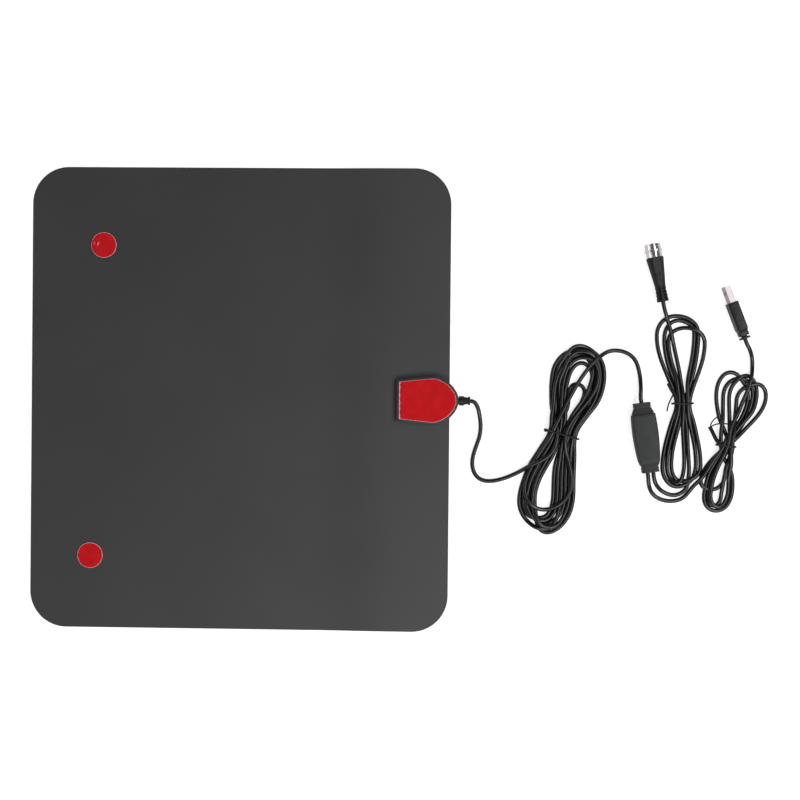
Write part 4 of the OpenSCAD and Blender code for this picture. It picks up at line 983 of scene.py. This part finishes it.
def box_outline(s, inset, easing=4):
    """The box's outline from above, moved inwards by inset: a flat end, two flaring sides and a
    nose where the powers of the two half axes' shares add up to one. Each point is moved along
    its mitre, the two straight stretches are divided anew, and the corners are eased by averaging
    neighbours."""
    l, e, w, f = (mm(v) for v in (s.length_over, s.end_width, s.width, s.flare))
    share = np.array([0, 0.012, 0.024, 0.04, 0.07, 0.12, 0.3, 0.5, 0.7, 0.85, 0.95])
    low = np.stack([f * share, -(e + (w - e) * share) / 2], 1)
    turn = np.radians(np.linspace(-90, 90, 57))
    power = 2 / s.nose_power
    nose = np.stack([f + (l - f) * np.abs(np.cos(turn)) ** power,
                     np.sign(np.sin(turn)) * w / 2 * np.abs(np.sin(turn)) ** power], 1)
    across = np.array([0.012, 0.024, 0.04, 0.07, 0.12, 0.25, 0.5, 0.75, 0.88, 0.93, 0.96, 0.976,
                       0.988])
    flat = np.stack([0 * across, e / 2 - e * across], 1)
    p = np.vstack([low, nose, low[::-1] * [1, -1], flat])
    ahead, behind = unit(np.roll(p, -1, 0) - p), unit(p - np.roll(p, 1, 0))
    out_a, out_b = (np.stack([v[:, 1], -v[:, 0]], 1) for v in (ahead, behind))
    mitre = (out_a + out_b) / (1 + (out_a * out_b).sum(1, keepdims=True))
    p = p - mitre * inset
    corner, onward = p[0], p[len(low)]
    low = corner + (onward - corner) * share[:, None]
    flat = np.stack([corner[0] + 0 * across, -corner[1] * (1 - 2 * across)], 1)
    p = np.vstack([low, p[len(low):len(low) + len(nose)], low[::-1] * [1, -1], flat])
    for _ in range(easing):
        p = 0.25 * np.roll(p, 1, 0) + 0.5 * p + 0.25 * np.roll(p, -1, 0)
    return p


def box_rings(s, steps):
    """Rings of the box's outline at pairs of inset and height."""
    rings = np.array([box_outline(s, inset) for inset, _ in steps])
    return stood(rings[:, :, 0], rings[:, :, 1], [z for _, z in steps], "z")


class ANTENNA_OT_box(bpy.types.Operator):
    """The two shells of the junction box, its pad, and what is inside it"""
    bl_idname = "antenna.box"
    bl_label = "Junction box"

    def execute(self, context):
        s, sheet = context.scene.antenna.box, context.scene.antenna.sheet
        low = np.array(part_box("box_back_shell")[0]) / MM
        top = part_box("box_back_shell")[1].z / MM
        at = (low[0], 0)
        c = mm(s.chamfer)
        plastic = plastic_moulded("abs_box_spark_eroded", s.plastic, 0.42, 0.45, 0.02)
        split = 2.7
        piece("box_back_shell_skin", [solid(laid(box_rings(s, [
            (0.5, split), (0.16, split), (0.0, split + 0.16), (0.0, top - c - 0.15),
            (0.05, top - c + 0.02), (c - 0.06, top - 0.07), (c + 0.12, top), (c + 0.9, top),
            (c + 1.3, top - 0.06)]), at, 0))], plastic, ["box_back_shell"])
        # The front shell's upper part stands only beyond the sheet's edge, at the nose
        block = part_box("box_front_shell")[1].x / MM - 6.3
        rings = laid(box_rings(s, [(0.1, 2.0), (0.0, 2.06), (0.0, 2.6), (0.1, split)]), at, 0)
        edge = np.abs(np.interp(block, *(v[5:45] for v in (rings[1, :, 0], rings[1, :, 1]))))
        rings[..., 1] = np.where(rings[..., 0] < block, np.clip(rings[..., 1], -edge, edge),
                                 rings[..., 1])
        rings[..., 0] = np.maximum(rings[..., 0], block)
        piece("box_front_shell_skin", [
            solid(laid(box_rings(s, [
                (c + 0.9, 0.0), (c + 0.12, 0.0), (c - 0.06, 0.07), (0.05, c - 0.02),
                (0.0, c + 0.15), (0.0, 1.86), (0.14, 2.0), (0.5, 2.0)]), at, 0)),
            solid(rings),
        ], plastic, ["box_front_shell"])
        inset = c + mm(s.pad_inset)
        tape_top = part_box("box_pad_tape")[1].z / MM
        liner_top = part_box("box_pad_liner")[1].z / MM
        piece("box_pad_tape_skin", [solid(laid(box_rings(s, [
            (inset + 0.4, top), (inset, top), (inset, tape_top - 0.05),
            (inset + 0.1, tape_top)]), at, 0))],
            tape_foam(sheet.foam), ["box_pad_tape"])
        # The liner: its rim, then rings that close on the middle of the pad
        rim = box_rings(s, [(inset + 0.3, tape_top), (inset + 0.05, tape_top),
                            (inset + 0.05, liner_top - 0.04), (inset + 0.12, liner_top),
                            (inset + 0.3, liner_top), (inset + 0.7, liner_top),
                            (inset + 1.3, liner_top)])
        share = np.linspace(0.95, 0.02, 20)[:, None, None]
        middle = np.array([22, 0, liner_top])
        grid = np.concatenate([rim, middle + (rim[-1] - middle) * share])
        away = np.r_[0, 0, 0, 0.07, 0.25, 0.65, 1.25, 1.25 + 14 * (1 - share.ravel())]
        x, y = grid[..., 0], grid[..., 1]
        inner = np.clip(away / 2.5, 0, 1)[:, None] * np.clip(
            np.hypot(x - middle[0], y) / 3, 0, 1)
        grid[..., 2] += inner * (0.035 * np.sin(x / 3.7 + 0.8) * np.cos(y / 4.3 + 0.4)
                                 + 0.02 * np.sin(x / 1.9 - y / 2.6) - 0.03)
        grid[:, :, 2] = np.minimum(grid[:, :, 2], liner_top)
        red = liner_red(sheet.liner, sheet.liner_edge, (at[0] + inset + 1.1) * MM)
        red.name = "pet_liner_worn_end"
        piece("box_pad_liner_skin", [solid(laid(grid, at, 0), along=away)], red,
              ["box_pad_liner"])
        dress(speckled("glass_epoxy_board_solder_mask", linear("#2f6b3f"), linear("#255634"),
                       0.35, 1.2, 0.01), "board", "balun_board")
        dress(speckled("ferrite_sintered", linear("#2b2a2c"), linear("#3b393c"), 0.6, 0.3, 0.03),
              "ferrite", "balun_core")
        dress(plain_metal("brass_rivet_tinned", linear("#c9cacc"), 0.3, 0.8), "rivet_metal",
              "foil_rivets")
        dress(boot_pvc(s.gland), "cord_jacket", "feed_cord_tail")
        return {"FINISHED"}


class ANTENNA_OT_gland(bpy.types.Operator):
    """The cord gland: a base, a slotted neck and an end ring"""
    bl_idname = "antenna.gland"
    bl_label = "Cord gland"

    def execute(self, context):
        s = context.scene.antenna.box
        out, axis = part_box("cord_gland")[1].x / MM, 4.3
        # Radius along the gland, from inside the box to its end
        profile = np.array([
            (-12.1, 3.0), (-10.6, 3.0), (-10.6, 2.2), (-8.05, 2.2), (-8.0, 3.15), (-7.8, 3.4),
            (-4.6, 3.4), (-4.45, 3.25), (-4.4, 2.8), (-4.3, 2.7), (-4.1, 2.7), (-3.4, 2.7),
            (-3.35, 2.7), (-2.8, 2.7), (-2.3, 2.7), (-2.25, 2.7), (-1.7, 2.7), (-1.35, 2.7),
            (-1.2, 3.0), (-1.05, 3.1), (-0.2, 3.1), (0.0, 2.9), (0.0, 1.56)])
        x = np.concatenate([np.linspace(a, b, 4, endpoint=False)
                            for a, b in zip(profile[:-1, 0], profile[1:, 0])] + [[0.0]])
        at = np.concatenate([np.linspace(i, i + 1, 4, endpoint=False)
                             for i in range(len(profile) - 1)] + [[len(profile) - 1]])
        radius = np.interp(at, np.arange(len(profile)), profile[:, 1])
        turn = np.linspace(0, 2 * np.pi, 72, endpoint=False)
        # Two rows of slots, four in a row, the second row turned by 45 degrees
        grid_r = np.repeat(radius[:, None], 72, 1)
        for start, end, shift in ((-4.1, -3.0, np.pi / 4), (-2.7, -1.6, 0.0)):
            row = 1 / (1 + np.exp(-(np.minimum(x - start, end - x)) / 0.05))[:, None]
            part = 1 / (1 + np.exp(-(np.cos(4 * (turn - shift)) - 0.1) / 0.12))[None]
            grid_r -= 0.6 * row * part
        grid = stood(grid_r * np.cos(turn), grid_r * np.sin(turn), out + x, "x")
        gland = boot_pvc(s.gland)
        gland.name = "pvc_gland_moulded"
        piece("cord_gland_skin", [solid(grid + [0, 0, axis])], gland,
              ["cord_gland"])
        return {"FINISHED"}


# ---------------------------------------------------------------- amplifier

def half_rings(width, height, corner, middle, seam, upper):
    """Rings of half a rounded rectangle, above or below the middle height: up one side, round
    two corners and down the other side, the seam's edges set back by a small bevel."""
    w, h, r = (np.broadcast_to(v, len(width)).astype(float)[:, None]
               for v in (width, height, corner))
    turn = np.radians(np.linspace(0, 90, 6))[None]
    arc_x, arc_z = w / 2 - r + r * np.cos(turn), h / 2 - r + r * np.sin(turn)
    right_x = np.concatenate([w / 2 - seam, w / 2, arc_x], 1)
    right_z = np.concatenate([0 * w + 0.01, 0 * w + seam + 0.01, arc_z], 1)
    x = np.concatenate([right_x, -right_x[:, ::-1]], 1)
    z = np.concatenate([right_z, right_z[:, ::-1]], 1)
    return x, middle + (z if upper else -z)


class ANTENNA_OT_amplifier(bpy.types.Operator):
    """The in-line amplifier's two housing shells, and what is inside them"""
    bl_idname = "antenna.amplifier"
    bl_label = "Amplifier"

    def execute(self, context):
        s = context.scene.antenna.amplifier
        at, degrees = (278.1, -0.2), 8  # where its feed cord's end lies, and its lean
        w, e, h = mm(s.width), mm(s.end_width), mm(s.height)
        ring, neck = (11.8, 10.6, 1.0), (11.25, 10.05, 0.9)
        bow = np.linspace(0, 1, 23)
        # The body bows to its middle and is wider at the feed cord's end
        body = np.stack([8.9 + 32.6 * bow, w - (w - e) * (2 * bow - 1) ** 2 + 1.6 - 2.0 * bow,
                         np.full(23, h), np.full(23, 1.5)], 1)
        # Stations from the feed cord's end: place, width, height and corner radius
        rows = np.array([
            (0.0, 11.3, 10.1, 1.0), (0.15, *ring), (1.3, *ring), (1.36, 11.4, 10.2, 1.0),
            (1.42, *neck), (1.9, *neck), (1.96, 11.4, 10.2, 1.0), (2.02, *ring), (3.2, *ring),
            (3.26, 11.4, 10.2, 1.0), (3.32, *neck), (3.8, *neck), (3.9, 12.2, 10.4, 1.0),
            (5.2, 12.9, 10.9, 1.0), (6.4, 14.1, 11.3, 1.0), (7.3, 15.2, 11.8, 1.0),
            (7.42, 15.2, 12.0, 1.0), (7.5, 14.2, 11.2, 1.0), (7.9, 14.2, 11.2, 1.0),
            (7.96, 15.5, 11.9, 1.2), (8.2, e + 1.4, 12.4, 1.4), *body,
            (41.9, e - 0.8, 12.8, 1.5), (44.3, 12.6, 11.2, 1.2), (44.8, 11.3, 10.1, 1.0),
            (44.95, *neck), (45.8, *neck), (45.86, 11.5, 10.3, 1.0), (45.92, *ring),
            (47.2, *ring), (47.26, 11.5, 10.3, 1.0), (47.32, *neck), (47.9, *neck),
            (47.96, 11.5, 10.3, 1.0), (48.02, *ring), (49.25, *ring), (49.4, 11.2, 10.0, 1.0)])
        plastic = plastic_moulded("abs_housing_spark_eroded", s.plastic, 0.55, 0.4, 0.018)
        for name, upper in (("amp_upper_shell", True), ("amp_lower_shell", False)):
            x, z = half_rings(rows[:, 1], rows[:, 2], rows[:, 3], h / 2, mm(s.seam), upper)
            z = np.clip(z, 0.0, h)
            grid = np.stack([x, np.broadcast_to(-rows[:, :1], x.shape), z], -1)
            piece(f"{name}_skin", [solid(laid(grid, at, degrees))], plastic,
                  [name])
        dress(speckled("glass_epoxy_board_green", linear("#2f6b3f"), linear("#255634"), 0.35,
                       1.2, 0.01), "board", "amp_board")
        dress(speckled("ferrite_choke_sintered", linear("#2b2a2c"), linear("#3b393c"), 0.6, 0.3,
                       0.03), "ferrite", "amp_choke")
        dress(speckled("epoxy_chip_moulded", linear("#1c1c1e"), linear("#28282a"), 0.45, 0.2,
                       0.01), "chip", "amp_transistor")
        dress(speckled("ceramic_chip_fired", linear("#b08d5a"), linear("#9b7a4c"), 0.4, 0.2,
                       0.005), "ceramic_chip", "amp_capacitors")
        dress(jacket_pvc(context.scene.antenna.cords.jacket), "cord_jacket", "amp_input_tail",
              "amp_output_tails")
        return {"FINISHED"}


# ---------------------------------------------------------------- coaxial plug

PLUG_AT, PLUG_LEAN = (292.6, 71.4), 11.3


def plug_place(grid):
    """Points of the plug's own frame, its length along +Y from the boot's end."""
    return laid(grid, PLUG_AT, PLUG_LEAN, 6.401)


def turned_solid(profile, sides=64):
    """A turned piece: pairs of place along the axis and radius, as rings."""
    y, r = np.array(profile, float).T
    a, b = turned(r, sides)
    return plug_place(stood(a, b, y, "y"))


class ANTENNA_OT_coaxial_plug(bpy.types.Operator):
    """The coaxial plug's boot, post, insulator and pin"""
    bl_idname = "antenna.coaxial_plug"
    bl_label = "Coaxial plug"

    def execute(self, context):
        s = context.scene.antenna.coaxial
        l = mm(s.boot_length)
        # Radius along the boot: a cone, then the relief, which widens to its end
        y = np.concatenate([np.linspace(0, 0.25, 3), np.arange(0.4, 11.4, 0.12),
                            np.linspace(11.5, l - 0.4, 26), [l - 0.2, l - 0.05, l]])
        radius = np.interp(y, [0, 0.25, 11, 12, l - 0.25, l], [3.95, 4.2, 3.85, 3.95, 6.2, 5.95])
        turn = np.linspace(0, 2 * np.pi, 144, endpoint=False)
        a = radius[:, None] * np.cos(turn)
        b = radius[:, None] * np.sin(turn)
        # The two flats cut the cone from above and below
        flat = np.interp(y, [0, 10.6, 11.4, l], [9, 9, 3.5, 5.6])[:, None]
        b = np.clip(b, -flat, flat)
        # Relief windows: four rows, each with a pair above and a pair below, either side of a
        # web, and between the rows a notch on either side
        off = np.abs(np.arctan2(np.cos(turn), np.abs(np.sin(turn))))  # from the upright
        deep = np.zeros_like(a)
        for place in (2.1, 4.5, 6.9, 9.3):
            row = 1 / (1 + np.exp(-(0.62 - np.abs(y - place)) / 0.05))[:, None]
            part = (1 / (1 + np.exp(-(np.radians(13) - np.abs(off - np.radians(29))) / 0.03)))
            deep = np.maximum(deep, row * part[None])
            side = 1 / (1 + np.exp(-(np.radians(22) - np.abs(off - np.radians(90))) / 0.03))
            mid = 1 / (1 + np.exp(-(0.5 - np.abs(y - place - 1.2)) / 0.05))[:, None]
            deep = np.maximum(deep, 0.6 * mid * side[None] * (place < 9))
        shrink = 1 - deep * 1.3 / radius[:, None]
        grid = plug_place(stood(a * shrink, b * shrink, y, "y"))
        surfaces = [solid(grid)]
        # Two grip bars on each flat, with eased edges
        bar_start, bar_apart = 13.3, 0.95
        steps = np.array([0, 0.12, 0.35, 6.85, 7.08, 7.2])
        size = np.array([0.3, 0.75, 1.0, 1.0, 0.75, 0.3])
        for side in (1, -1):
            for across in (-bar_apart, bar_apart):
                a, b = rounded(0.7 * (0.7 + 0.3 * size), 0.9 * size + 0.3, 0.2, 5)
                lift = np.interp(bar_start + steps, [11, l], [3.5, 5.6])[:, None] + 0.02
                surfaces.append(solid(plug_place(stood(a + across, side * (b + lift),
                                                       bar_start + steps, "y"))))
        boot = boot_pvc(s.boot)
        piece("plug_boot_skin", surfaces, boot, ["plug_boot"], crease=28)
        metal = nickel_plated(s.nickel, 0.2)
        piece("plug_post_skin", [solid(turned_solid([
            (25.4, 2.3), (25.4, 3.2), (33.1, 3.2), (33.2, 3.3), (33.22, 4.0), (33.3, 4.1),
            (34.1, 4.1), (34.2, 4.0), (34.2, 2.4), (34.1, 2.3)]), joined=True)],
            metal, ["plug_post"])
        piece("plug_insulator_skin", [solid(turned_solid([
            (25.4, 0.4), (25.4, 2.29), (34.05, 2.29), (34.15, 2.2), (34.15, 0.75),
            (33.9, 0.55), (33.9, 0.4)]), joined=True)],
            speckled("polyethylene_moulded_white", s.insulator, linear("#dedbd2"), 0.4, 1.0,
                     0.01), ["plug_insulator"])
        piece("plug_pin_skin", [solid(turned_solid([
            (25.4, 0.4), (33.9, 0.4), (34.1, 0.45), (34.2, 0.5), (40.45, 0.5), (40.6, 0.47),
            (40.85, 0.33), (41.0, 0.15)], 24))],
            plain_metal("copper_wire_drawn", s.pin, 0.22, 1.5), ["plug_pin"])
        return {"FINISHED"}


class ANTENNA_OT_coupling_nut(bpy.types.Operator):
    """The free coupling nut: a hexagon with a ring, threaded inside"""
    bl_idname = "antenna.coupling_nut"
    bl_label = "Coupling nut"

    def execute(self, context):
        s = context.scene.antenna.coaxial
        l, flats = mm(s.nut_length), mm(s.nut_flats)
        start = mm(s.boot_length) + 0.1
        sides = 144
        turn = np.linspace(0, 2 * np.pi, sides, endpoint=False)
        # Distance to a hexagon's edge, its faces and corners worn a little round, and the cone
        # that ends it
        flatness, worn = 0.62, 0.3
        part = (turn + np.pi / 6) % (np.pi / 3) - np.pi / 6
        hexagon = flats / 2 * (1 + flatness * (1 / np.cos(part) - 1))
        hexagon = np.minimum(hexagon, hexagon.max() - worn)
        mid = l / 2
        y = np.r_[0, 0.05, 0.2, 0.45, 0.75, 1.1, 2.5, mid - np.array([0.75, 0.66, 0.62, 0.5])]
        y = np.r_[y, l - y[::-1]]
        cone = flats / 2 - 0.12 + np.minimum(y, l - y) * 1.0
        outer = np.minimum(hexagon[None], cone[:, None])
        ring = np.interp(np.abs(y - mid), [0, 0.5, 0.62, 0.66], [6.3, 6.3, 6.15, 0])[:, None]
        outer = np.maximum(outer, ring)
        # The bore: from the front edge down the thread to the lip, and out at the back
        down = np.linspace(l - 0.25, 1.75, 90)
        pitch = mm(s.thread_pitch)
        wave = np.abs((down[:, None] / pitch + turn / (2 * np.pi)) % 1 * 2 - 1)
        fade = np.clip(np.minimum(l - 0.25 - down, down - 1.75) / 0.5, 0, 1)[:, None]
        thread = 4.5 - 0.32 * fade * wave
        inner_y = np.r_[l, l - 0.1, down, 1.6, 1.6, 1.5, 0.1, 0.0]
        front, lip = (np.repeat(np.array(v)[:, None], sides, 1)
                      for v in ([4.95, 4.75], [4.45, 3.4, 3.29, 3.29, 3.45]))
        inner = np.vstack([front, thread, lip])
        r, along = np.vstack([outer, inner]), np.r_[y, inner_y] + start
        grid = plug_place(stood(r * np.cos(turn), r * np.sin(turn), along, "y"))
        piece("coupling_nut_skin", [solid(grid, joined=True)], nickel_plated(s.nickel, 0.16),
              ["coupling_nut"], body="coupling_nut", crease=24)
        return {"FINISHED"}


# ---------------------------------------------------------------- power plug

class ANTENNA_OT_power_plug(bpy.types.Operator):
    """The power plug's ribbed moulding, steel shell, tongue and contacts"""
    bl_idname = "antenna.power_plug"
    bl_label = "Power plug"

    def execute(self, context):
        s = context.scene.antenna.power
        l, t, w, pitch = mm(s.length_over), mm(s.thickness), mm(s.width), mm(s.rib_pitch)
        # Stations from the cord's end: bar, neck, block, taper, grip with its grooves
        rows = [(0.0, 6.8, 7.2, 0.5), (0.15, 7.1, 7.6, 0.6), (1.25, 7.1, 7.6, 0.6),
                (1.4, 6.8, 7.2, 0.5), (1.45, 4.4, 4.4, 2.1), (2.25, 4.4, 4.4, 2.1),
                (2.3, 6.5, 8.4, 0.7), (2.45, 6.9, 8.8, 0.9), (4.7, 6.9, 9.2, 0.9),
                (4.95, 6.4, 9.4, 1.2), (5.1, 6.6, 10.6, 1.4), (6.9, 7.2, 13.0, 1.4),
                (7.2, t, w, 1.4)]
        lone, ribs = l - 14.3, l - 2.2 - 6 * pitch
        rows += [(lone, t, w, 1.4), (lone + 0.12, t, w - 0.9, 1.1), (lone + 0.7, t, w - 0.9, 1.1),
                 (lone + 0.82, t, w, 1.4), (ribs - 0.3, t, w, 1.4)]
        for y in ribs + pitch * np.arange(6):
            rows += [(y, t, w, 1.4), (y + 0.12, t, w - 0.7, 1.15), (y + 0.6, t, w - 0.7, 1.15),
                     (y + 0.72, t, w, 1.4)]
        rows = np.array(rows + [(l - 0.35, t, w, 1.4), (l - 0.1, t - 0.2, w - 0.2, 1.3),
                                (l, t - 0.6, w - 0.6, 1.1)])
        a, b = rounded(rows[:, 1], rows[:, 2], rows[:, 3], 6)
        at, lean = (350.3, 45.6), 21
        plastic = boot_pvc(s.moulding)
        plastic.name = "pvc_plug_moulded"
        piece("power_plug_moulding_skin", [solid(laid(stood(a, b, rows[:, 0], "y"), at, lean,
                                                      6.8))],
              plastic, ["power_plug_moulding"], crease=28)
        dress(steel_drawn(s.steel), "shell_steel", "power_plug_shell")
        dress(speckled("thermoplastic_tongue_moulded", s.tongue, linear("#d8d5cc"), 0.4, 0.8,
                       0.01), "insulator", "power_plug_tongue")
        dress(plain_metal("gold_flashed_contact", s.contact, 0.2, 1.0), "contact_metal",
              "power_plug_contacts")
        return {"FINISHED"}


# ---------------------------------------------------------------- add-on

OPERATORS = (ANTENNA_OT_stage, ANTENNA_OT_cords, ANTENNA_OT_sheet, ANTENNA_OT_pads,
             ANTENNA_OT_box, ANTENNA_OT_gland, ANTENNA_OT_amplifier, ANTENNA_OT_coaxial_plug,
             ANTENNA_OT_coupling_nut, ANTENNA_OT_power_plug)


class ANTENNA_PT_panel(bpy.types.Panel):
    """Lists the antenna's operators"""
    bl_idname = "ANTENNA_PT_panel"
    bl_label = "Indoor antenna"
    bl_space_type = "VIEW_3D"
    bl_region_type = "UI"
    bl_category = "Antenna"

    def draw(self, context):
        for made in OPERATORS:
            self.layout.operator(made.bl_idname)


CLASSES = (SheetSettings, BoxSettings, CordSettings, AmplifierSettings, CoaxialPlugSettings,
           PowerPlugSettings, StageSettings, AntennaSettings, *OPERATORS, ANTENNA_PT_panel)


def register():
    """Registers the classes and the scene's settings."""
    for made in CLASSES:
        bpy.utils.register_class(made)
    bpy.types.Scene.antenna = PointerProperty(type=AntennaSettings)


def unregister():
    """Takes back what register did."""
    del bpy.types.Scene.antenna
    for made in reversed(CLASSES):
        bpy.utils.unregister_class(made)


def main():
    """Builds the stage and every piece."""
    register()
    bpy.ops.antenna.stage()
    bpy.ops.antenna.cords()
    bpy.ops.antenna.sheet()
    bpy.ops.antenna.pads()
    bpy.ops.antenna.box()
    bpy.ops.antenna.gland()
    bpy.ops.antenna.amplifier()
    bpy.ops.antenna.coaxial_plug()
    bpy.ops.antenna.coupling_nut()
    bpy.ops.antenna.power_plug()
    declare_cords()


if __name__ == "__main__":
    main()
